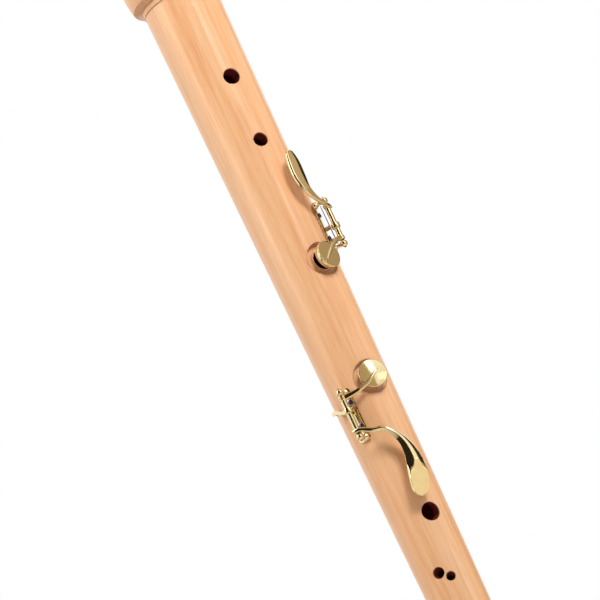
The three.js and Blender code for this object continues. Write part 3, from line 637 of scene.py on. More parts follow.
def turned(name: str, outline: Outline | Array, sides: int, slot: Slot, body: str, node: str,
           crease: float = CREASE) -> None:
    """Makes a piece that is turned from one closed outline.

    Args:
        name: Name of the piece.
        outline: Pairs of radius and height.
        sides: Points round it.
        slot: Its finish.
        body: CAD body that it moves with.
        node: CAD node that it stands for.
        crease: Angle from which its edges stay sharp.
    """
    shape = Shape().add(lathe(outline, sides), round_rows=True)
    make(name, shape, slot, body, node, crease=crease)


def band(inner: float, outer: float, low: float, high: float) -> Array:
    """Outline of a sleeve with rounded edges, between two radii and two heights."""
    return rounded([(inner, low), (outer, low), (outer, high), (inner, high)], 0.5, 5, closed=True)


# Wood


def bulge(radius: float, rise: float, z: float, height: float, steps: int = 14) -> Outline:
    """Bead on a radius: r = radius + rise * (1 - (2t - 1)^2)^0.72, with t from 0 to 1.

    Args:
        radius: Radius at both ends.
        rise: How far the middle stands out.
        z: Low end.
        height: Length along the bore.
        steps: Steps of the curve.

    Returns:
        Pairs of radius and height.
    """
    t = np.linspace(0, 1, steps + 1)
    out = np.maximum(1 - (2 * t - 1) ** 2, 0) ** 0.72
    return list(zip(radius + rise * out, z + height * t))


def cove(start: float, end: float, z: float, height: float, steps: int = 16) -> Outline:
    """Hollow from one radius to another: r = start + (end - start) * (1 - (1 - t)^2.6).

    Args:
        start: Radius at the low end.
        end: Radius at the high end.
        z: Low end.
        height: Length along the bore.
        steps: Steps of the curve.

    Returns:
        Pairs of radius and height.
    """
    t = np.linspace(0, 1, steps + 1)
    return list(zip(start + (end - start) * (1 - (1 - t) ** 2.6), z + height * t))


def straight(low: Pair, high: Pair) -> Callable:
    """Radius that changes evenly between two pairs of height and radius."""
    rise = high[1] - low[1]
    return lambda z: low[1] + rise * (np.asarray(z, float) - low[0]) / (high[0] - low[0])


@dataclass(frozen=True)
class Tenon:
    """A tenon with a groove in which its cork is lapped."""

    radius: float
    base: float
    tip: float
    margin: float = 4.0
    groove_depth: float = 1.2

    def groove(self) -> Pair:
        """Heights of the groove's ends, from the base."""
        way = math.copysign(self.margin, self.tip - self.base)
        return self.base + way, self.tip - way

    def outline(self) -> Outline:
        """Pairs of radius and height, from the base to the tip."""
        start, end = self.groove()
        floor = self.radius - self.groove_depth
        return [(self.radius, self.base), (self.radius, start), (floor, start), (floor, end),
                (self.radius, end), (self.radius, self.tip)]

    def lap(self, name: str, body: str) -> None:
        """Makes the cork of the tenon with this name, on a body."""
        low, high = sorted(self.groove())
        ring = band(self.radius - 0.9, self.radius + 0.6, low + CLEARANCE, high - CLEARANCE)
        turned(f"{name}_lapping", ring, 96, Slot.CORK, body, f"{name}_cork")


@dataclass(frozen=True)
class Hole:
    """A hole through the wall, and the cells of the tube's grid that it takes.

    The window is its lowest and highest angle and its lowest and highest z.
    """

    angle: float
    z: float
    width: float
    height: float
    window: Window
    lean: float = 0.0
    bore_share: float = 1.0
    seat_radius: float = 0.0
    seat_floor: float = 0.0
    lip: float = 0.35
    rim_width: float = 1.1
    rim_height: float = 1.1


def pad_hole(angle: float, z: float, surface: Callable, window: Window) -> Hole:
    """A tone hole in the flat, sunk seat of a pad."""
    tone_hole, seat, floor = 10.6, 9.4, float(surface(z)) - SEAT_DEPTH
    return Hole(angle, z, tone_hole, tone_hole, window, seat_radius=seat, seat_floor=floor)


@dataclass
class PiercedTube:
    """A length of tube whose outside and bore are grids, with holes let into both."""

    outer: Callable
    inner: Callable
    low: float
    high: float
    windows: list[Window]
    columns: int = 144
    row_step: float = 5.0
    window_step: float = 1.2
    window_margin: float = 0.6

    def __post_init__(self) -> None:
        """Sets the rows, which are close together in the windows, and the columns."""
        self.step = 360 / self.columns
        self.angles = np.arange(self.columns) * self.step - 180
        spans = [(low, high) for _, _, low, high in self.windows]
        rows = np.linspace(self.low, self.high, round((self.high - self.low) / self.row_step) + 1)
        for low, high in spans:
            rows = rows[(rows <= low - self.window_margin) | (rows >= high + self.window_margin)]
        inside = [np.linspace(low, high, round((high - low) / self.window_step) + 1)
                  for low, high in spans]
        self.rows = np.unique(np.concatenate([rows, *inside]))
        self.keep = np.ones((len(self.rows) - 1, self.columns), bool)

    def edge(self, window: Window) -> Edge:
        """Takes a window's cells out of the grid.

        Args:
            window: Lowest and highest angle and z.

        Returns:
            Angles and heights of the points round the window, from its low left corner.
        """
        left, right = (round((angle + 180) / self.step) for angle in window[:2])
        low, high = (int(np.argmin(np.abs(self.rows - z))) for z in window[2:])
        across, up = np.arange(left, right + 1), np.arange(low, high + 1)
        self.keep[np.ix_(up[:-1], across[:-1] % self.columns)] = False
        columns = np.concatenate([
            across[:-1], np.full(len(up) - 1, right), across[:0:-1], np.full(len(up) - 1, left)])
        rows = np.concatenate([
            np.full(len(across) - 1, low), up[:-1], np.full(len(across) - 1, high), up[:0:-1]])
        return columns * self.step - 180, self.rows[rows]

    def end(self, shape: Shape, profile: Outline | Array, depth: float = 0.0) -> None:
        """Adds turned rings on the tube's own columns, from pairs of radius and height, with a
        depth that paints shade on them.
        """
        pairs = np.asarray(profile, float)
        shape.add(polar(self.angles[None], pairs[:, :1], pairs[:, 1:]), depth=depth)

    def skins(self, shape: Shape, bore_depth: float = 1.0) -> None:
        """Adds the outside and the bore, without the cells that the windows took; the bore's depth
        paints it in shade.
        """
        for surface, depth in ((self.outer, 0.0), (self.inner, bore_depth)):
            z = self.rows[:, None]
            shape.add(polar(self.angles[None], surface(z), z), depth=depth, keep=self.keep)

    def spread(self, surface: Callable, edge: Edge, to: Edge, steps: int = 7) -> Array:
        """Rings on a surface, from the edge of a window to the mouth of a hole.

        Args:
            surface: Radius at a height.
            edge: Angles and heights round the window.
            to: Angles and heights round the mouth.
            steps: Steps between them, closer together near the mouth.

        Returns:
            Grid of points.
        """
        share = (1 - (1 - np.linspace(0, 1, steps)) ** 1.6)[:, None]
        angle, z = (start + (end - start) * share for start, end in zip(edge, to))
        return polar(angle, surface(z), z)

    def drill(self, shape: Shape, hole: Hole, edge: Edge) -> None:
        """Adds one hole: rings over the wood, a rounded lip, the sunk seat of a pad where there is
        one, the wall, and rings out over the bore. A ring at u across, z along and w away from
        the axis follows u = a cos t, z = middle + b sin t, for half sizes a and b.

        Args:
            shape: Shape that takes the rings.
            hole: The hole.
            edge: Angles and heights of the points round its window.
        """
        mouth = float(self.outer(hole.z))
        turn = np.arctan2(edge[1] - hole.z, np.radians(edge[0] - hole.angle) * mouth)
        cos, sin = np.cos(turn), np.sin(turn)

        def at(u: Array, z: Array, w: Array) -> Array:
            """Point u across, z along and w away from the axis, on the hole's own angle."""
            return stood(np.stack(np.broadcast_arrays(u, z, w), -1), hole.angle, 0, 0)

        def meet(surface: Callable, u: Array, z: Array) -> tuple[Array, Array]:
            """Distance w at which a surface lies, and the angle there."""
            angle = hole.angle + np.degrees(np.arcsin(u / surface(z)))
            return np.sqrt(surface(z) ** 2 - u**2), angle

        half = (hole.seat_radius,) * 2 if hole.seat_radius else (hole.width / 2, hole.height / 2)
        u, z = (half[0] + hole.lip) * cos, hole.z + (half[1] + hole.lip) * sin
        top, angle = meet(self.outer, u, z)
        shape.add(self.spread(self.outer, edge, (angle, z)))
        t = np.linspace(0, np.pi / 2, 5)[:, None]
        ease = hole.lip * (1 - np.sin(t))
        u, z = (half[0] + ease) * cos, hole.z + (half[1] + ease) * sin
        w = top - hole.lip * (1 - np.cos(t))
        # The depths below paint shade: a little on the lip and in the pad's sunk seat, most down
        # the wall and over the bore.
        lip_shade = wall_shade = 0.06 if hole.seat_radius else 0.3
        shape.add(at(u, z, w), depth=lip_shade * np.sin(t))
        u, z, w = u[-1], z[-1], w[-1]
        if hole.seat_radius:
            tone, seat, rim = hole.width / 2, hole.seat_radius, hole.rim_height
            radius, rise, shade = np.array([
                (seat, 0.4, 0.1), (seat, 0.3, 0.14), (seat - 0.3, 0, 0.12),
                (tone + 1.15 * hole.rim_width, 0, 0.08), (tone + hole.rim_width, rim, 0.03),
                (tone + 0.2, rim, 0.06), (tone, rim - 0.2, 0.6)]).T[..., None]
            rows = at(radius * cos, hole.z + radius * sin, hole.seat_floor + rise)
            shape.add(np.concatenate([at(u, z, w)[None], rows]),
                      depth=np.concatenate([[[lip_shade]], shade]))
            u, z = tone * cos, hole.z + tone * sin
            w = np.full_like(u, hole.seat_floor + rim - 0.2)
            wall_shade = 0.85
        inner_u = hole.width / 2 * hole.bore_share * cos
        inner_z = hole.z + hole.height / 2 * hole.bore_share * sin
        level = meet(self.inner, inner_u, inner_z)[0]
        inner_z = inner_z + (mouth - level) * math.tan(math.radians(hole.lean))
        inner_w, angle = meet(self.inner, inner_u, inner_z)
        share = np.linspace(0, 1, 6)[:, None]
        wall = at(u + (inner_u - u) * share, z + (inner_z - z) * share, w + (inner_w - w) * share)
        shape.add(wall, depth=wall_shade + (1 - wall_shade) * share**0.5)
        shape.add(self.spread(self.inner, edge, (angle, inner_z)), depth=1.0)


@dataclass
class MiddleJoint:
    """The middle joint, with its open finger holes and the seats of two pads."""

    low: float = FOOT_TOP
    high: float = MIDDLE_TOP
    low_radius: float = 14.75
    top_radius: float = 20.8
    twin_window: Window = (-65.0, 5.0, 251.0, 269.0)
    twin_cut: Pair = (-50.0, -5.0)
    lower_tenon: Tenon = Tenon(12.0, FOOT_TOP, 187.0)
    upper_tenon: Tenon = Tenon(16.5, MIDDLE_TOP, 637.0)

    def surface(self, z: Array) -> Array:
        """Radius of the wood at a height."""
        return straight((self.low, self.low_radius), (self.high, self.top_radius))(z)

    def holes(self) -> list[Hole]:
        """The single holes, from the head down."""
        return [
            Hole(180, 570, 8.4, 8.4, (145, 215, 561, 579)),
            Hole(0, 550.5, 9, 9, (-35, 35, 541, 560)),
            Hole(0, 512, 7.7, 7.7, (-35, 35, 503.5, 520.5)),
            pad_hole(15.5, 439.4, self.surface, (-32.5, 65, 425, 454)),
            pad_hole(4, 371, self.surface, (-45, 52.5, 357, 385)),
            Hole(-1.3, 293.4, 9.5, 10, (-42.5, 40, 283, 304), lean=12),
        ]

    def drill_twin(self, tube: PiercedTube, shape: Shape) -> None:
        """Drills the two small holes that share a window, each on its side of a slanted line
        that meets the window's low and high edge at the angles of the cut.

        Args:
            tube: The grid.
            shape: Shape that takes the rings.
        """
        left, right = self.twin_window[:2]
        edge = np.stack(tube.edge(self.twin_window))
        across = round((right - left) / tube.step)
        up = (edge.shape[1] - 2 * across) // 2
        low = round((self.twin_cut[0] - left) / tube.step)
        high = across + up + round((right - self.twin_cut[1]) / tube.step)
        share = np.linspace(0, 1, 15)[1:-1]
        cut = edge[:, [low]] + (edge[:, [high]] - edge[:, [low]]) * share
        left_edge = np.hstack([edge[:, :low + 1], cut, edge[:, high:]])
        right_edge = np.hstack([edge[:, low:high + 1], cut[:, ::-1]])
        tube.drill(shape, Hole(-38, 262.5, 6, 6, self.twin_window, bore_share=0.6), left_edge)
        tube.drill(shape, Hole(-19, 258.5, 4.8, 4.8, self.twin_window, bore_share=0.6), right_edge)

    def build(self) -> None:
        """Makes the joint with its two tenons, and their cork."""
        single = self.holes()
        tube = PiercedTube(self.surface, straight((187, 8), (637, 12.5)), self.low, self.high,
                           [*(hole.window for hole in single), self.twin_window])
        shape = Shape()
        for hole in single:
            tube.drill(shape, hole, tube.edge(hole.window))
        self.drill_twin(tube, shape)
        tube.skins(shape)
        below = [(float(tube.inner(self.low)), self.low), (8, 187),
                 *self.lower_tenon.outline()[::-1], (self.low_radius, self.low)]
        above = [(self.top_radius, self.high), *self.upper_tenon.outline(), (12.5, 637),
                 (float(tube.inner(self.high)), self.high)]
        for profile in (below, above):
            # The joint's ends and tenons take a little painted shade.
            tube.end(shape, rounded(profile, 0.4), 0.15)
        make("middle_joint_wood", shape, Slot.WOOD, "middle", "middle_joint")
        self.lower_tenon.lap("lower_tenon", "middle")
        self.upper_tenon.lap("upper_tenon", "middle")


@dataclass
class FootJoint:
    """The foot joint: bell, waist, barrel with one pad's seat, ring and socket."""

    radius: float = 16.8
    top: float = FOOT_TOP - CLEARANCE
    socket: Pair = (12.9, 186.7)
    low: float = 115.0
    high: float = 171.0

    def surface(self, z: Array) -> Array:
        """Radius of the barrel, the same at every height."""
        return np.full_like(np.asarray(z, float), self.radius)

    def build(self) -> None:
        """Makes the joint."""
        hole = pad_hole(0, 143, self.surface, (-47.5, 47.5, 129, 157))
        socket, floor = self.socket
        tube = PiercedTube(self.surface, straight((40, 7.2), (floor, 8)), self.low, self.high,
                           [hole.window])
        shape = Shape()
        tube.drill(shape, hole, tube.edge(hole.window))
        tube.skins(shape)
        tube.end(shape, [
            (float(tube.inner(self.low)), self.low), (7.2, 40), (9, 0), (22.9, 0),
            *bulge(23.9, 1.1, 0.8, 8.2), *cove(23.9, 16.2, 11, 51), (16.2, 63.8),
            *bulge(16.2, 1.1, 64.5, 3.5), (16.4, 69), (self.radius, 96), (self.radius, self.low),
        ])
        tube.end(shape, [
            (self.radius, self.high), (self.radius, 187.4), *bulge(16.9, 3.5, 188, 20)[1:-1],
            (15.9, 208.6), (15.6, 209.5), (15.6, 214.2), (15.2, self.top), (socket, self.top),
            (socket, floor), (8, floor), (float(tube.inner(self.high)), self.high),
        ])
        make("foot_joint_wood", shape, Slot.WOOD, "foot", "foot_joint", crease=50)


@dataclass
class HeadJoint:
    """The head joint: ring over the socket, barrel, and the window with its sloping ramp."""

    low: float = 850.0
    high: float = 930.0
    window: Window = (-60.0, 60.0, 860.0, 922.0)
    half_width: float = 10.0
    ramp_low: float = 868.0
    edge_z: float = 900.0
    window_top: float = 907.0
    slot_top: float = 915.0
    barrel: Pair = (22.3, 24.4)
    bore: float = 13.0
    roof: float = 15.0
    edge_thickness: float = 0.8
    ramp_taper: float = 0.25
    socket: Pair = (17.4, 637.3)
    tenon: Tenon = Tenon(21.5, HEAD_TOP, 985.0)
    block: Pair = (12.7, -11.7)

    def surface(self, z: Array) -> Array:
        """Radius of the barrel at a height."""
        return straight((653, self.barrel[0]), (HEAD_TOP, self.barrel[1]))(z)

    def inside(self, z: Array) -> Array:
        """Radius of the bore, the same at every height."""
        return np.full_like(np.asarray(z, float), self.bore)

    def cut_window(self, tube: PiercedTube, shape: Shape) -> None:
        """Adds the window: an outline on the wood, the ramp's plane that slopes in to the sounding
        edge, the slot under the windway's roof, and rings out over the bore.

        Args:
            tube: The grid.
            shape: Shape that takes the rings.
        """
        edge = tube.edge(self.window)
        _, right, low, high = self.window
        x = self.half_width * edge[0] / right
        z = self.ramp_low + (self.window_top - self.ramp_low) * (edge[1] - low) / (high - low)
        out = np.sqrt(self.surface(z) ** 2 - x**2)
        shape.add(tube.spread(
            self.surface, edge, (np.degrees(np.arcsin(x / self.surface(z))), z)))
        lip = self.bore + self.edge_thickness
        ramp_length = self.edge_z - self.ramp_low
        slope = (self.barrel[1] - lip) / ramp_length
        ramp = np.minimum(out - 0.05, self.barrel[1] - (z - self.ramp_low) * slope)
        floor = np.where(z > self.edge_z, self.roof, ramp)
        fallen = np.clip((self.edge_z - z) / ramp_length, 0, 1)
        risen = np.clip((z - self.edge_z) / (self.window_top - self.edge_z), 0, 1)
        x_in = x * (1 - self.ramp_taper * fallen)
        z_in = np.where(z < self.edge_z, self.edge_z,
                        self.edge_z + (self.slot_top - self.edge_z) * risen)
        y_in = lip + (self.roof - lip) * risen**2
        y_bore = np.sqrt(self.bore**2 - x_in**2)
        rings = [(x, -out, z), (x, -floor, z), (x_in, -y_in, z_in), (x_in, -y_bore, z_in)]
        grid = np.stack([np.stack(ring, -1) for ring in rings])
        # The depths paint shade: a little on the ramp and the slot, more down to the bore.
        shape.add(grid[:3], depth=np.array([0.05, 0.08, 0.12])[:, None])
        shape.add(grid[2:], depth=np.array([0.12, 0.6])[:, None])
        end_angle = np.degrees(np.arcsin(x_in / self.bore))
        shape.add(tube.spread(self.inside, edge, (end_angle, z_in)), depth=0.8)

    def build(self) -> None:
        """Makes the joint, the windway's block and the cap tenon's cork."""
        tube = PiercedTube(self.surface, self.inside, self.low, self.high, [self.window])
        shape = Shape()
        self.cut_window(tube, shape)
        # The head's bore takes a little less painted shade than the other joints' bores.
        tube.skins(shape, 0.8)
        socket, floor = self.socket
        mouth, tip = MIDDLE_TOP + CLEARANCE, self.tenon.tip
        tube.end(shape, [
            (self.bore, self.low), (self.bore, floor), (socket, floor), (socket, mouth),
            (20.9, mouth), (21.3, 605.8), (21.3, 608.0), (20.6, 608.6), (21.3, 609.3),
            (23.6, 610.1), *bulge(25.4, 1.75, 610.7, 30.4, 20), (25.1, 641.6), (25.1, 643.6),
            *cove(24.8, 22.3, 644, 9), (float(self.surface(self.low)), self.low),
        ])
        tube.end(shape, [
            (float(self.surface(self.high)), self.high), (24.4, 959.6), (24.1, HEAD_TOP),
            *self.tenon.outline()[:-1], (21.5, 984.6), (21.1, tip), (self.bore, tip),
            (self.bore, self.high),
        ])
        make("head_joint_wood", shape, Slot.WOOD, "head", "head_joint", crease=32)
        self.tenon.lap("cap_tenon", "head")
        radius, flat = self.block
        section = circle(96, radius)
        section[:, 1] = np.maximum(section[:, 1], flat)
        rings = np.stack([
            np.column_stack([section * share, np.full(96, z)])
            for share, z in ((0.95, 907), (1, 907.6), (1, 984.6), (0.98, tip))])
        make("windway_block_cedar", Shape().add(capped(rings)), Slot.CEDAR, "head",
             "windway_block")


@dataclass
class HeadCap:
    """The cap over the head's top, with the bush that the crook seats in."""

    outer: float = 25.6
    socket: float = 22.4
    bore: float = 7.8

    def build(self) -> None:
        """Makes the cap and the bush."""
        turned("head_cap_wood", [
            (self.socket, 960.6), (self.socket + 0.4, 960.3), (self.outer - 0.5, 960.3),
            *bulge(self.outer, 0.9, 960.6, 4.2), *bulge(self.outer, 0.9, 996, 4.2),
            *cove(self.outer, 11, 1000.4, 16)[1:], (11, 1023.1),
            *bulge(11, 1.4, 1023.3, 3.8), (10.4, 1027.3), (self.bore, 1027.3), (self.bore, 997.3),
            (18, 997.3), (18, 985.3), (self.socket, 985.3),
        ], 144, Slot.WOOD, "cap", "head_cap", crease=32)
        bush = [(5.7, 1029), (5.7, 1003), (7.5, 1003), (7.5, 1027.6), (9.5, 1027.6), (9.5, 1029)]
        turned("crook_bush_brass", rounded(bush, 0.4, 4, closed=True), 72, Slot.BRASS, "cap",
               "crook_bush")


@dataclass
class Crook:
    """The curved brass blowing tube, with its seat's cork and its collar."""

    radius: float = 3.4
    wall: float = 1.0
    bend: float = 38.0
    low: float = 1007.0
    seat_top: float = 1029.0
    rise: float = 27.4
    drop: float = 77.4
    mouth_bend: float = 44.0
    mouth_angle: float = 52.0
    mouth_length: float = 21.7
    end_round: float = 0.4
    sleeve: float = 3.7

    def route(self) -> Array:
        """Centre line: straight up, half a turn over, straight down, and a bend to the mouth.

        Returns:
            Points, up from the seat.
        """
        top = self.seat_top + self.rise
        up = np.column_stack([np.zeros(18), np.linspace(self.low, top, 18)])
        t = np.linspace(0, np.pi, 49)[1:]
        over = np.column_stack([self.bend * (1 - np.cos(t)), top + self.bend * np.sin(t)])
        fall = np.linspace(top, top - self.drop, 17)[1:]
        down = np.column_stack([np.full(16, 2 * self.bend), fall])
        m = np.radians(np.linspace(0, self.mouth_angle, 25))[1:]
        mouth = down[-1] + self.mouth_bend * np.column_stack([1 - np.cos(m), -np.sin(m)])
        heading = np.array([math.sin(m[-1]), -math.cos(m[-1])])
        end = mouth[-1] + heading * np.linspace(0, self.mouth_length, 8)[1:, None]
        flat = np.concatenate([up, over, down, mouth, end])
        return np.column_stack([np.zeros(len(flat)), flat])

    def build(self) -> None:
        """Makes the tube, its cork and its collar."""
        path = self.route()
        half = self.wall / 2

        def skin(radius: float) -> Array:
            """Rings of one radius along the whole route."""
            return carried(path, np.array([1.0, 0, 0]), circle(40, radius))

        ends = []
        for index, way in ((-1, 1), (0, -1)):
            along = path[index] - path[index - way]
            along *= self.end_round / np.linalg.norm(along)
            ends.append(np.stack([
                skin(self.radius - half + half * math.cos(a))[index] + along * math.sin(a)
                for a in np.radians([30, 60, 90, 120, 150])[::way]]))
        grid = np.concatenate([
            skin(self.radius), ends[0], skin(self.radius - self.wall)[::-1], ends[1]])
        make("crook_tube_brass", Shape().add(grid, round_rows=True), Slot.BRASS, "crook",
             "crook_tube", crease=60)
        turned("crook_seat_cork", band(self.sleeve, 5.1, 1010, 1028), 96, Slot.CORK, "crook",
               "crook_cork")
        collar = [(self.sleeve, 1029.3), (5.7, 1029.3), (5.7, 1030.2), (4.9, 1030.8),
                  (5.7, 1031.4), (5.7, 1032.3), (self.sleeve, 1032.3)]
        turned("crook_collar_brass", rounded(collar, 0.5, 4, closed=True), 60, Slot.BRASS,
               "crook", "crook_collar")


# Metal fittings


@dataclass(frozen=True)
class PlateScrew:
    """A slotted screw with a domed head, on a plate that lies on the wood."""

    head_radius: float = 1.4
    head_height: float = 0.75
    shank_radius: float = 0.75
    length: float = 5.2
    slot_half: float = 0.2
    slot_depth: float = 0.4
    slot_wall: float = 0.02

    def shape(self, angle: float, z: float, surface: Callable, lift: float,
              slot_turn: float) -> Shape:
        """The head's top is a square grid pressed into a disc, x' = x sqrt(1 - yy/2) and
        y' = y sqrt(1 - xx/2), with a dome that drops by the slot's depth between two of its rows.

        Args:
            angle: Angle of the screw.
            z: Height of the screw.
            surface: Radius of the wood at a height.
            lift: Height of the plate's top over the wood.
            slot_turn: Degrees that the slot is turned from the line along the bore.

        Returns:
            The closed shape.
        """
        edge = self.slot_half / self.head_radius
        inside = edge - self.slot_wall
        y = [*np.linspace(-1, -edge, 9), -inside, inside, *np.linspace(edge, 1, 9)]
        gx, gy = np.meshgrid(np.linspace(-1, 1, 25), y)
        dx, dy = gx * np.sqrt(1 - gy**2 / 2), gy * np.sqrt(1 - gx**2 / 2)
        away = np.clip(np.hypot(dx, dy), 0, 1)
        dome = self.head_height * (0.45 + 0.55 * np.sqrt(np.maximum(1 - away**2.2, 0)))
        floor = np.minimum(dome, self.head_height - self.slot_depth)
        top = np.where(np.abs(gy) < edge - self.slot_wall / 2, floor, dome)
        head = np.stack([dx * self.head_radius, dy * self.head_radius, top], -1)
        rim = np.concatenate([head[0, :-1], head[:-1, -1], head[-1, :0:-1], head[:0:-1, 0]])
        under = rim * [1, 1, 0]
        shank = under * self.shank_radius / self.head_radius
        tip = shank - [0, 0, self.length]
        side = np.stack([rim, under, shank, tip, np.broadcast_to(tip.mean(0), tip.shape)])
        place = (angle, float(surface(z)) + lift, z)
        turn = spin(90 + slot_turn)
        shape = Shape().add(stood(head @ turn, *place), round_columns=False)
        return shape.add(stood(side @ turn, *place))


@dataclass(frozen=True)
class KeyPlan:
    """Where one key sits, and how its arm and its touch run.

    reach is 1 where the touch points to the head and -1 where it points to the foot, and side
    is 1 where the hinge is on +X. A row of the touch has its angle, its height over the wood, its
    distance along from the hinge's middle, its half width, its half thickness, and how sharp its
    ridge is. A row of filed is a flat face: the angle and the tilt that it faces, the angle,
    height over the wood and distance along of a point on it, and the distance where it starts.
    """

    name: str
    body: str
    side: int
    reach: int
    hinge_z: float
    pad_z: float
    pad_angle: float
    bumper: float
    surface: Callable
    arm: Outline
    touch: list[tuple[float, ...]]
    filed: list[tuple[float, ...]]
    facing: float = 0.0
    flat: Pair = FLAT_BAND
    fall: float = BAND_FALL
    cup_brim: float = 2.5
    cup_rim: float = 4.0
    dome: float = 0.8


def ridge_section(width: Array, thick: Array, sharp: Array, sides: int, flat: Pair = FLAT_BAND,
                  fall: float = BAND_FALL) -> Array:
    """Sections of a forged lever. Below, they are half a flat oval. Above, their height is
    sqrt(1 - x^10), which is nearly flat, times 1 - sharp fall d, where d is how far x lies
    outside the flat band, with a soft start: sqrt(outside^2 + 0.08^2) - 0.08.

    Args:
        width: Half width of each section.
        thick: Half thickness of each section.
        sharp: How far each top falls away beside its flat band, from 0 to 1.
        sides: Points round each section.
        flat: The two edges of the flat band, as shares of the half width.
        fall: The fall beside the band for one half width.

    Returns:
        Sections, as x and y of their points.
    """
    x, y = circle(sides).T
    outside = np.maximum(np.maximum(flat[0] - x, x - flat[1]), 0)
    away = np.sqrt(outside**2 + 0.08**2) - 0.08
    top = np.sqrt(np.maximum(1 - x**10, 0)) * (1 - np.asarray(sharp)[:, None] * fall * away)
    height = np.where(y >= 0, top, y * 0.6)
    return np.stack([x * width[:, None], height * thick[:, None]], -1)


@dataclass
class Key:
    """One key: saddle, rod, lever, cup, pad, spring, corks and screws."""

    plan: KeyPlan
    hinge_angle: float = 51.0
    hinge_height: float = 6.9
    tube_length: float = 21.0
    tube_radius: float = 1.5
    collar_radius: float = 2.0
    collar_length: float = 2.2
    rod_radius: float = 0.75
    ball_radius: float = 2.0
    post_radius: float = 1.2
    post_offset: float = 12.8
    plate_middle: float = 54.5
    plate_width: float = 25.0
    plate_thickness: float = 0.9
    screw_angle: float = 49.0
    screw_offset: float = 6.8
    screw_lift: float = 1.45
    hook_angle: float = 46.0
    hook_height: float = 6.0
    lug_offset: float = 2.2
    tail_angle: float = 84.0
    tail_height: float = 4.4
    tail_reach: float = 4.0
    tail_cork_angle: float = 80.0
    spring_height: float = 3.9
    open_angle: float = 10.5
    cup_radius: float = 7.6
    cup_ceiling: float = 3.7
    pad_radius: float = 6.8
    pad_low: float = 1.4
    pad_thickness: float = 2.0
    arm_steps: int = 60
    touch_steps: int = 140
    end_sharpness: float = 14.0

    def __post_init__(self) -> None:
        """Works out where the hinge, the seat and the lug are."""
        plan = self.plan
        self.angle = plan.side * self.hinge_angle
        self.radius = float(plan.surface(plan.hinge_z)) + self.hinge_height
        self.hinge = polar(self.angle, self.radius, plan.hinge_z)
        self.floor = float(plan.surface(plan.pad_z)) - SEAT_DEPTH
        self.lug = -plan.reach * self.lug_offset
        self.bumper_z = plan.hinge_z - plan.reach * plan.bumper

    def opened(self, points: Array) -> Array:
        """Turns the pad's side of the key open about the hinge."""
        return (points - self.hinge) @ spin(self.plan.side * self.open_angle) + self.hinge

    def on_hinge(self, profile: Outline | Array, sides: int = 40) -> Array:
        """Turned rings round the hinge, from pairs of radius and distance from its middle."""
        return lathe(profile, sides) + self.hinge

    def on_seat(self, profile: Outline | Array, sides: int = 96) -> Array:
        """Turned rings over the pad's seat, opened with the key."""
        grid = stood(lathe(profile, sides), self.plan.pad_angle, self.floor, self.plan.pad_z)
        return self.opened(grid)

    def make(self, part: str, shape: Shape, slot: Slot, moving: bool,
             crease: float = CREASE) -> bpy.types.Object:
        """Makes one piece of the key, on the key's own body where it moves."""
        body = self.plan.name if moving else self.plan.body
        node = f"{self.plan.name}_{part}"
        return make(f"{node}_piece", shape, slot, body, node, crease=crease)

    def saddle(self) -> None:
        """The bent plate with two round lobes, and two posts with flanges and balls."""
        plan = self.plan
        surface = plan.surface
        width = math.radians(self.plate_width) * float(surface(plan.hinge_z))
        edge = loop(width, 2 * (self.post_offset + self.ball_radius), 2.2)
        shape = Shape().add(laid(edge, plan.side * self.plate_middle, plan.hinge_z, surface,
                                 self.plate_thickness, 0.16))
        turn = np.linspace(0, np.pi, 19)
        ball = self.ball_radius * np.column_stack([np.sin(turn), np.cos(turn)])
        for end in (1, -1):
            shape.add(laid(circle(32, 2.1), plan.side * self.screw_angle,
                           plan.hinge_z + end * self.screw_offset, surface,
                           self.plate_thickness, 0.3))
            z = plan.hinge_z + end * self.post_offset
            wood = float(surface(z))
            height = self.radius - wood
            post = [(0, 0.6), (1.9, 0.6), (2, 1.0), (2, 1.9), (1.75, 2.25), (1.3, 2.5), (1.0, 3.2),
                    (0.95, height - 2.6), (1.15, height - 1.9), (1.3, height - 1.4), (0, height)]
            shape.add(stood(lathe(post, 40), self.angle, wood, z))
            shape.add(self.on_hinge(ball + [0, end * self.post_offset]))
        self.make("saddle", shape, Slot.GOLD, False)

    def rod(self) -> None:
        """The hinge's steel rod, with rounded ends and a ring at each end of the tube."""
        end = self.post_offset + self.ball_radius
        half = [(0, end + 0.25), (0.45, end + 0.2), (0.72, end), (self.rod_radius, end - 0.3),
                (self.rod_radius, 10.8), (1.1, 10.78), (1.1, 10.52), (self.rod_radius, 10.5)]
        self.make("hinge_rod", Shape().add(self.on_hinge(half + mirrored(half), 32)), Slot.STEEL,
                  False)

    def arm(self) -> Array:
        """The rib from the tube's end over the cup, thick at the tube and pointed on the cup.

        Returns:
            Grid of points, with the key open.
        """
        plan = self.plan
        turn = math.radians(self.angle - plan.pad_angle)
        to_hinge = self.radius * math.sin(turn)
        hinge_over = self.radius * math.cos(turn) - self.floor
        tube_end = plan.hinge_z - plan.reach * (self.tube_length / 2 - 1.2)
        over = plan.cup_rim + plan.dome + 0.2
        t = np.linspace(0, 1, self.arm_steps)
        across, along = smooth(plan.arm, self.arm_steps).T
        height = over + (hinge_over - over) * np.clip(across, 0, 1) ** 2 - 0.35 * t**3
        path = np.column_stack([across * to_hinge, along * (tube_end - plan.pad_z), height])
        fade = np.minimum(1, (1 - t) * self.end_sharpness + 0.05) ** 0.5
        width = 1.35 * (1 - t) ** 0.6 + 0.3
        thick = 1.15 - 0.45 * t
        section = ridge_section(width * fade, thick * fade, 0.2 + 0.6 * t, 32)
        rings = carried(path, np.array([0, 0, 1.0]), section)
        return self.opened(stood(capped(rings), plan.pad_angle, self.floor, plan.pad_z))

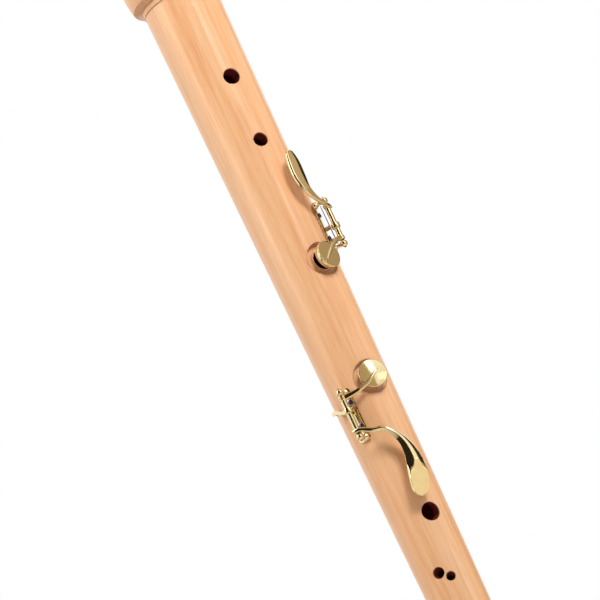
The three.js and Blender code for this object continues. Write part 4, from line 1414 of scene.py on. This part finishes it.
    def touch(self) -> Array:
        """The touch: a neck with a ridge, which widens to a leaf whose face is filed flat. A point
        P over a filed plane through C with the normal n drops onto it: P - n max(0, (P - C) n).

        Returns:
            Grid of points.
        """
        plan = self.plan
        angle, height, along, width, thick, sharp = smooth(plan.touch, self.touch_steps).T
        z = plan.hinge_z + plan.reach * along
        path = polar(plan.side * angle, plan.surface(z) + height, z)
        t = np.linspace(0, 1, self.touch_steps)
        end = np.sqrt(np.clip((1 - t) * self.end_sharpness, 0.0025, 1))
        section = ridge_section(width * end, thick * end, np.clip(sharp, 0, 1), 96, plan.flat,
                                plan.fall)
        grid = carried(path, polar(plan.facing, 1, 0), section)
        for facing, tilt, at, over, middle, start in plan.filed:
            normal = direction(facing, tilt)
            z = plan.hinge_z + plan.reach * middle
            centre = polar(at, float(plan.surface(z)) + over, z)
            share = np.clip((along - start) / 3, 0, 1)[:, None]
            above = np.maximum((grid - centre) @ normal, 0) * share
            grid = grid - above[..., None] * normal
        return capped(grid)

    def tail(self) -> list[Array]:
        """The flat tail behind the tube and the short hook before it.

        Returns:
            Two grids of points.
        """
        plan = self.plan
        z = plan.hinge_z + self.lug
        far = z - plan.reach * self.tail_reach
        root = (self.hinge_angle, self.hinge_height, z)
        tail = [root, (60, 6.6, z - plan.reach * 0.6), (72, 5.4, (z + far) / 2 - plan.reach),
                (self.tail_angle, self.tail_height, far)]
        hook = [root, (49, 6.6, z), (self.hook_angle, self.hook_height, self.bumper_z)]
        grids = []
        for rows, width in ((tail, 2.2), (hook, 2.3)):
            angle, height, z = smooth(rows, 24).T
            path = polar(plan.side * angle, plan.surface(z) + height, z)
            up = polar(plan.side * angle, 1, 0)
            grids.append(capped(carried(path, up, loop(width, 1.1, 0.5))))
        return grids

    def lever(self) -> None:
        """The tube with its collars, the arm, the touch and the tail, as one piece."""
        half = self.tube_length / 2
        tube, collar, lug = self.tube_radius, self.collar_radius, self.lug
        end = [(0.85, half), (collar - 0.25, half), (collar, half - 0.3), (collar, half - 0.75),
               (collar - 0.35, half - 1.0), (collar - 0.1, half - 1.25),
               (collar - 0.1, half - 1.9), (tube, half - self.collar_length)]
        middle = [(tube, lug + 1.7), (2.1, lug + 1.5), (2.35, lug + 1.1), (2.35, lug - 1.1),
                  (2.1, lug - 1.5), (tube, lug - 1.7)]
        shape = Shape().add(self.on_hinge([*end, *middle, *mirrored(end)]), round_rows=True)
        for grid in (self.arm(), self.touch(), *self.tail()):
            shape.add(grid)
        self.make("lever", shape, Slot.GOLD, True)

    def cup(self) -> None:
        """The pad's cup: a shallow dome, a rolled rim and a thin skirt over the pad."""
        rim, brim, radius = self.plan.cup_rim, self.plan.cup_brim, self.cup_radius
        dome = [(radius * 0.93 * share, rim + self.plan.dome * (1 - share**2))
                for share in np.linspace(0, 1, 20)]
        edge = [(radius * 0.965, rim - 0.03), (radius * 0.99, rim - 0.14), (radius, rim - 0.4),
                (radius, brim + 0.15), (radius - 0.15, brim), (radius - 0.5, brim + 0.05),
                (radius - 0.5, self.cup_ceiling), (0, self.cup_ceiling)]
        self.make("pad_cup", Shape().add(self.on_seat(dome + edge)), Slot.GOLD, True, crease=45)

    def pad(self) -> None:
        """The pad: a leather-covered disc with a soft edge and the mark of the tone hole."""
        radius, low, top = self.pad_radius, self.pad_low, self.pad_low + self.pad_thickness
        outline = [(0, low + 0.1), (4.9, low + 0.1), (5.4, low + 0.25), (5.9, low + 0.05),
                   (radius - 0.6, low), (radius - 0.15, low + 0.15), (radius, low + 0.6),
                   (radius, top - 0.2), (radius - 0.3, top), (0, top)]
        piece = self.make("pad", Shape().add(self.on_seat(rounded(outline, 0.5, 3))), Slot.LEATHER,
                          True, crease=60)

    def spring(self) -> None:
        """The needle spring between the posts, thinner towards its tip."""
        plan = self.plan
        half = self.post_offset - self.post_radius - CLEARANCE
        z = np.linspace(-half, half, 24) + plan.hinge_z
        path = polar(self.angle, float(plan.surface(plan.hinge_z)) + self.spring_height, z)
        section = circle(12) * (0.3 - 0.1 * np.linspace(0, 1, 24)[:, None, None])
        grid = carried(path, polar(self.angle, 1, 0), section)
        self.make("spring", Shape().add(capped(grid)), Slot.STEEL, False)

    def corks(self) -> None:
        """The tail's cork, which meets the wood when the key opens, and the cork on the plate."""
        plan = self.plan
        share = (self.tail_cork_angle - self.hinge_angle) / (self.tail_angle - self.hinge_angle)
        tail_z = plan.hinge_z + self.lug - plan.reach * self.tail_reach * share
        swing = 2 * self.radius * math.sin(math.radians(self.hinge_angle - self.hook_angle) / 2)
        drop = swing * math.sin(math.radians(self.open_angle))
        plate_top = self.plate_thickness + 2 * CLEARANCE
        for part, angle, z, low, top, moving in (
            ("tail_cork", self.tail_cork_angle, tail_z, 0.3, self.tail_height - 0.85, True),
            ("bumper_cork", self.hook_angle, self.bumper_z, plate_top,
             self.hook_height - 0.95 - drop, False),
        ):
            outline = rounded([(0, low), (1.2, low), (1.2, top), (0, top)], 0.35, 4)
            grid = stood(lathe(outline, 32), plan.side * angle, float(plan.surface(z)), z)
            self.make(part, Shape().add(grid), Slot.CORK, moving)

    def screws(self) -> None:
        """The saddle's two blued screws."""
        for number, end, turn in ((1, 1, 25), (2, -1, -40)):
            z = self.plan.hinge_z + end * self.screw_offset
            shape = PlateScrew().shape(self.plan.side * self.screw_angle, z, self.plan.surface,
                                       self.screw_lift, turn)
            self.make(f"saddle_screw_{number}", shape, Slot.STEEL, False)

    def build(self) -> None:
        """Makes every piece of the key."""
        for step in (self.saddle, self.rod, self.lever, self.cup, self.pad, self.spring,
                     self.corks, self.screws):
            step()


@dataclass
class BackFittings:
    """Thumb rest and strap ring, both on the back of the middle joint."""

    surface: Callable
    angle: float = 165.0
    rest_z: float = 333.0
    ring_z: float = 415.0
    root: float = 0.8
    shelf_reach: float = 13.2
    shelf_end: float = 0.78
    lip_drop: float = 4.2
    eye_height: float = 5.0
    ring_radius: float = 9.0
    wire: float = 1.1

    def plate(self, half_angle: float, height: float, z: float, thickness: float) -> Array:
        """A bent plate with round ends.

        Args:
            half_angle: Half of the angle that it spans.
            height: Its length along the bore.
            z: Height of its middle.
            thickness: Its thickness.

        Returns:
            Grid of points.
        """
        width = 2 * math.radians(half_angle) * float(self.surface(z))
        edge = loop(width, height, 0.42 * width, 10)
        return laid(edge, self.angle, z, self.surface, thickness, 0.45)

    def outward(self, rings: Array, z: float) -> Array:
        """Puts a shape whose y points away from the bore and z up on the plate's angle."""
        return stood(rings[..., [0, 2, 1]], self.angle, 0, z)

    def thumb_rest(self) -> None:
        """A bent plate with a curved shelf that ends in a turned-down lip."""
        root = float(self.surface(self.rest_z)) + self.root
        shape = Shape().add(self.plate(24, 34, self.rest_z, 1.3))
        t = np.linspace(0, 1, 40)
        reach = np.minimum(t / self.shelf_end, 1)
        fall = np.clip((t - self.shelf_end) / (1 - self.shelf_end), 0, 1)
        sin, cos = np.sin(fall * np.pi / 2), np.cos(fall * np.pi / 2)
        arch = np.sin(reach * np.pi)
        y = root + self.shelf_reach * (reach - 0.06 * fall) + 0.9 * sin
        z = -self.lip_drop * (1 - cos) - 0.5 * arch
        half = 7 - 1.2 * arch * (1 - fall)
        section = loop(2, 1, 0.35)[None] * np.stack([half, np.full(40, 1.9)], -1)[:, None]
        zero = np.zeros(40)
        rings = carried(np.column_stack([zero, y, z]), np.column_stack([zero, sin, cos]), section)
        shape.add(self.outward(capped(rings), self.rest_z))
        make("thumb_rest_piece", shape, Slot.GOLD, "middle", "thumb_rest")

    def strap_ring(self) -> None:
        """A small plate with an eye that stands on it, and the ring of round wire in the eye."""
        wood = float(self.surface(self.ring_z))
        axis, root = wood + self.eye_height, wood + self.root
        shape = Shape().add(self.plate(17, 26, self.ring_z, 1.2))
        y, z, x = torus(2.75, (0.85, 1.6), 48, 20)
        shape.add(self.outward(np.stack([x, axis + y, z], -1), self.ring_z), round_rows=True)
        stem = [(0, root), (2.6, root), (2.4, root + 0.5), (1.7, root + 1.0), (1.4, root + 1.9),
                (0, root + 1.9)]
        shape.add(self.outward(lathe(stem, 32)[..., [0, 2, 1]], self.ring_z))
        make("strap_ring_plate_piece", shape, Slot.GOLD, "middle", "strap_ring_plate")
        x, z, y = torus(self.ring_radius, (self.wire, self.wire), 96, 24)
        grid = np.stack([x, axis + y, z - self.ring_radius], -1)
        shape = Shape().add(self.outward(grid, self.ring_z), round_rows=True)
        make("strap_ring_piece", shape, Slot.GOLD, "strap_ring", "strap_ring")

    def build(self) -> None:
        """Makes both fittings and their four screws."""
        self.thumb_rest()
        self.strap_ring()
        for name, z, offset, lift in (("thumb_rest", self.rest_z, 11, 1.9),
                                      ("strap_ring", self.ring_z, 8.5, 1.8)):
            for number, end in ((1, 1), (2, -1)):
                node = f"{name}_screw_{number}"
                shape = PlateScrew().shape(self.angle, z + end * offset, self.surface, lift,
                                           60 * end)
                make(f"{node}_piece", shape, Slot.GOLD, "middle", node)


def key_plans(middle: MiddleJoint, foot: FootJoint) -> list[KeyPlan]:
    """The three keys, from the head down.

    Args:
        middle: Joint that carries the two upper keys.
        foot: Joint that carries the lowest key.

    Returns:
        Their plans.
    """
    swan = [(1.04, 1.02), (0.9, 1.01), (0.74, 0.99), (0.52, 0.9), (0.24, 0.6), (0, 0.1),
            (-0.17, -0.25)]
    crane = [(1.06, 1.02), (0.9, 0.97), (0.62, 0.82), (0.28, 0.42), (0, 0), (-0.36, -0.6)]
    leaf = [(55, 8.3, 9.1, 1.2, 1, 0.6), (46, 8, 9.6, 1.3, 1.1, 0.8),
            (39.5, 7.4, 11, 1.5, 1.2, 1), (30, 6.8, 15, 2.4, 1.3, 1),
            (21.5, 7.2, 20.6, 3.5, 1.6, 1), (19.8, 7, 28, 4.6, 1.7, 1),
            (20.6, 6.9, 36, 4.4, 1.7, 1), (20.4, 7, 41, 3.1, 1.3, 1),
            (19.9, 7, 43, 2, 0.8, 1)]
    blade = [(55, 8.2, 9.1, 1.2, 1, 0.3), (47, 8, 9.6, 1.2, 1.1, 0.4),
             (41, 7.7, 10.8, 1.2, 1.2, 0.5), (31.5, 8, 13, 1.35, 1.3, 0.6),
             (18.5, 8.1, 14.8, 1.6, 1.5, 0.8), (6.7, 7.8, 21.4, 2.3, 1.8, 1),
             (1.4, 7.6, 28.6, 3.5, 2.3, 1), (1, 7.3, 36.6, 4.9, 2.9, 1),
             (4.2, 7.2, 44, 5.5, 2.4, 0), (8.3, 6.8, 50, 4.7, 2, 0),
             (9.3, 6.5, 53, 3.4, 1.7, 0), (9.8, 6.3, 54.8, 2.3, 1.2, 0)]
    spoon = [(55, 8.2, 9.1, 1.2, 1, 0.3), (49, 8.4, 9.6, 1.3, 1.1, 0.5),
             (44, 8.8, 11, 1.4, 1.2, 0.8), (36, 9.8, 16, 1.5, 1.3, 1), (30, 10.2, 22, 1.8, 1.3, 1),
             (27, 10.3, 29, 2.8, 1.4, 1), (26, 10.2, 36, 4.2, 1.5, 0.9),
             (26, 10, 43, 4.9, 1.3, 0.7), (26.5, 9.8, 49, 4, 1, 0.3),
             (26.5, 9.7, 52, 2.4, 0.7, 0.1)]
    return [
        KeyPlan("key_3", "middle", 1, 1, 457, 439.4, 15.5, 2, middle.surface, crane, leaf, [],
                facing=20, flat=(-2, 0.15), fall=1.0, cup_brim=3.2, cup_rim=5.3, dome=0.12),
        KeyPlan("key_4", "middle", -1, -1, 355.5, 371, 4, 4, middle.surface, swan, blade,
                [(-1, -10, -5, 8.8, 45, 34)], facing=1, flat=(-0.2, 0.2), fall=1.25,
                cup_rim=3.85),
        KeyPlan("key_7", "foot", -1, 1, 160, 143, 0, 3, foot.surface, swan, spoon,
                [(24, -8, 26, 10.8, 42, 30)], facing=24),
    ]


# Studio


@dataclass(frozen=True)
class Card:
    """A card that only reflections show, between two azimuths and two elevations."""

    name: str
    start: float
    end: float
    colour: Colour
    strength: float = 1.0
    low: float = -70.0
    high: float = 75.0
    distance: float = 2400.0


@dataclass(frozen=True)
class SoftBox:
    """A lamp that faces a height on the instrument, from a distance and with a size in metres."""

    name: str
    azimuth: float
    elevation: float
    distance: float
    size: Pair
    watts: float
    height: float


CARD_STEP = 4.0
CARDS = (
    Card("Left strip", -91, -79, (1, 0.97, 0.93), 4, 13, 62, 1200),
    Card("Front flag", -78, -16, (0.022, 0.017, 0.012), high=88),
    Card("Amber card", -16, 10, (0.46, 0.37, 0.24)),
    Card("Right strip", 9, 20, (1, 0.98, 0.95), 4, 13, 62, 1200),
    Card("Low white card", 17, 44, (1, 0.98, 0.95), 1.5, -4, 7),
    Card("Gold card", 19, 47, (0.94, 0.84, 0.68), low=-60, high=-5),
    Card("Bronze card", 48, 70, (0.56, 0.46, 0.34), low=-30),
    Card("Brown card", 70, 87, (0.43, 0.34, 0.23), low=-30),
    Card("Side flag", 87, 119, (0.04, 0.028, 0.018)),
)
LAMPS = (
    SoftBox("Front soft box", 10, 22, 1.2, (0.34, 0.42), 12.7, 690),
    SoftBox("Right soft box", 85, 22, 1.35, (0.6, 0.8), 8.4, 700),
    SoftBox("Left soft box", -98, 25, 1.35, (0.75, 1.05), 18.5, 930),
)


@dataclass
class Studio:
    """Floor, light and camera."""

    azimuth: float = -25.0
    elevation: float = -15.0
    roll: float = -24.928
    distance: float = 1800.0
    aim_right: float = -8.870
    aim_z: float = 427.96
    lens: float = 205.2
    floor_z: float = -300.0
    floor_half: float = 4.0

    def world(self) -> None:
        """White to the camera and in reflections, and a plain soft light otherwise."""
        world = bpy.data.worlds.new("Studio")
        world.use_nodes = True
        bpy.context.scene.world = world
        nodes = Nodes(world.node_tree)
        path = nodes.node("LightPath")
        seen = path.outputs["Is Camera Ray"]
        for name in ("Is Glossy Ray", "Is Transmission Ray"):
            seen = nodes.sum("MAXIMUM", seen, path.outputs[name])
        soft = nodes.node("Background", Color=(1, 0.82, 0.64), Strength=0.25)
        white = nodes.node("Background", Color=(1, 1, 1), Strength=1.0)
        mixed = nodes.node("MixShader", {"Fac": seen, 1: soft.outputs[0], 2: white.outputs[0]})
        nodes.node("OutputWorld", {"Surface": mixed.outputs[0]})

    def floor(self) -> None:
        """A plain pale floor below the instrument, which is held over it."""
        size, z = self.floor_half, self.floor_z * MM
        mesh = bpy.data.meshes.new("studio_floor")
        corners = [(-size, -size, z), (size, -size, z), (size, size, z), (-size, size, z)]
        mesh.from_pydata(corners, [], [(0, 1, 2, 3)])
        floor = placed("studio_floor", mesh)
        mix = Mixer("Pale floor")
        seen = mix.node("LightPath").outputs["Is Camera Ray"]
        mix.set(Base_Color=(0.9, 0.9, 0.9), Roughness=0.9, Emission_Color=(1, 1, 1),
                Emission_Strength=mix.sum("MULTIPLY", seen, 0.6))
        mesh.materials.append(mix.material)

    def lamp(self, box: SoftBox) -> None:
        """Makes a lamp, turned to its height on the instrument."""
        lamp = bpy.data.lights.new(box.name, "AREA")
        lamp.shape = "RECTANGLE"
        lamp.size, lamp.size_y = box.size
        lamp.energy = box.watts
        holder = placed(box.name, lamp)
        back = Vector(direction(box.azimuth, box.elevation))
        holder.location = back * box.distance + Vector((0, 0, box.height * MM))
        holder.rotation_mode = "QUATERNION"
        holder.rotation_quaternion = back.to_track_quat("Z", "Y")
        holder.visible_glossy = False

    def card(self, card: Card) -> None:
        """Makes a card on a sphere round the instrument's aim."""
        steps = max(2, round((card.end - card.start) / CARD_STEP) + 1)
        azimuth = np.linspace(card.start, card.end, steps)[None]
        e = np.radians(np.linspace(card.low, card.high, 19))[:, None]
        grid = polar(azimuth, np.cos(e) * card.distance, self.aim_z + card.distance * np.sin(e))
        mesh = Shape().add(grid, round_columns=False).mesh(card.name, 60)
        piece = placed(card.name, mesh)
        mix = Mixer(card.name)
        mix.set(Base_Color=(0, 0, 0), Roughness=1.0, Specular_IOR_Level=0.0,
                Emission_Color=card.colour, Emission_Strength=card.strength)
        mesh.materials.append(mix.material)
        for ray in ("camera", "diffuse", "shadow", "transmission"):
            setattr(piece, f"visible_{ray}", False)

    def camera(self) -> None:
        """The camera, turned about its own line of sight by the roll."""
        back = Vector(direction(self.azimuth, self.elevation))
        level = Vector(polar(self.azimuth + 90, 1, 0))
        upright = back.cross(level)
        cos, sin = math.cos(math.radians(self.roll)), math.sin(math.radians(self.roll))
        right, up = level * cos + upright * sin, upright * cos - level * sin
        place = level * self.aim_right + Vector((0, 0, self.aim_z)) + back * self.distance
        data = bpy.data.cameras.new("Camera")
        data.lens = self.lens
        data.sensor_width = 36
        data.clip_start, data.clip_end = 0.05, 50
        holder = placed("Camera", data)
        turn = Matrix((right, up, back)).transposed().to_4x4()
        holder.matrix_world = Matrix.Translation(place * MM) @ turn
        bpy.context.scene.camera = holder

    def build(self) -> None:
        """Sets up everything round the instrument."""
        bpy.context.scene.view_settings.view_transform = "Standard"
        self.world()
        self.floor()
        for box in LAMPS:
            self.lamp(box)
        for card in CARDS:
            self.card(card)
        self.camera()


def main() -> None:
    """Builds the instrument and the studio, in order."""
    logging.basicConfig(level=logging.INFO, format="%(message)s")
    middle, foot = MiddleJoint(), FootJoint()
    middle.build()
    foot.build()
    HeadJoint().build()
    HeadCap().build()
    Crook().build()
    BackFittings(middle.surface).build()
    for plan in key_plans(middle, foot):
        Key(plan).build()
    Studio().build()


if __name__ == "__main__":
    main()
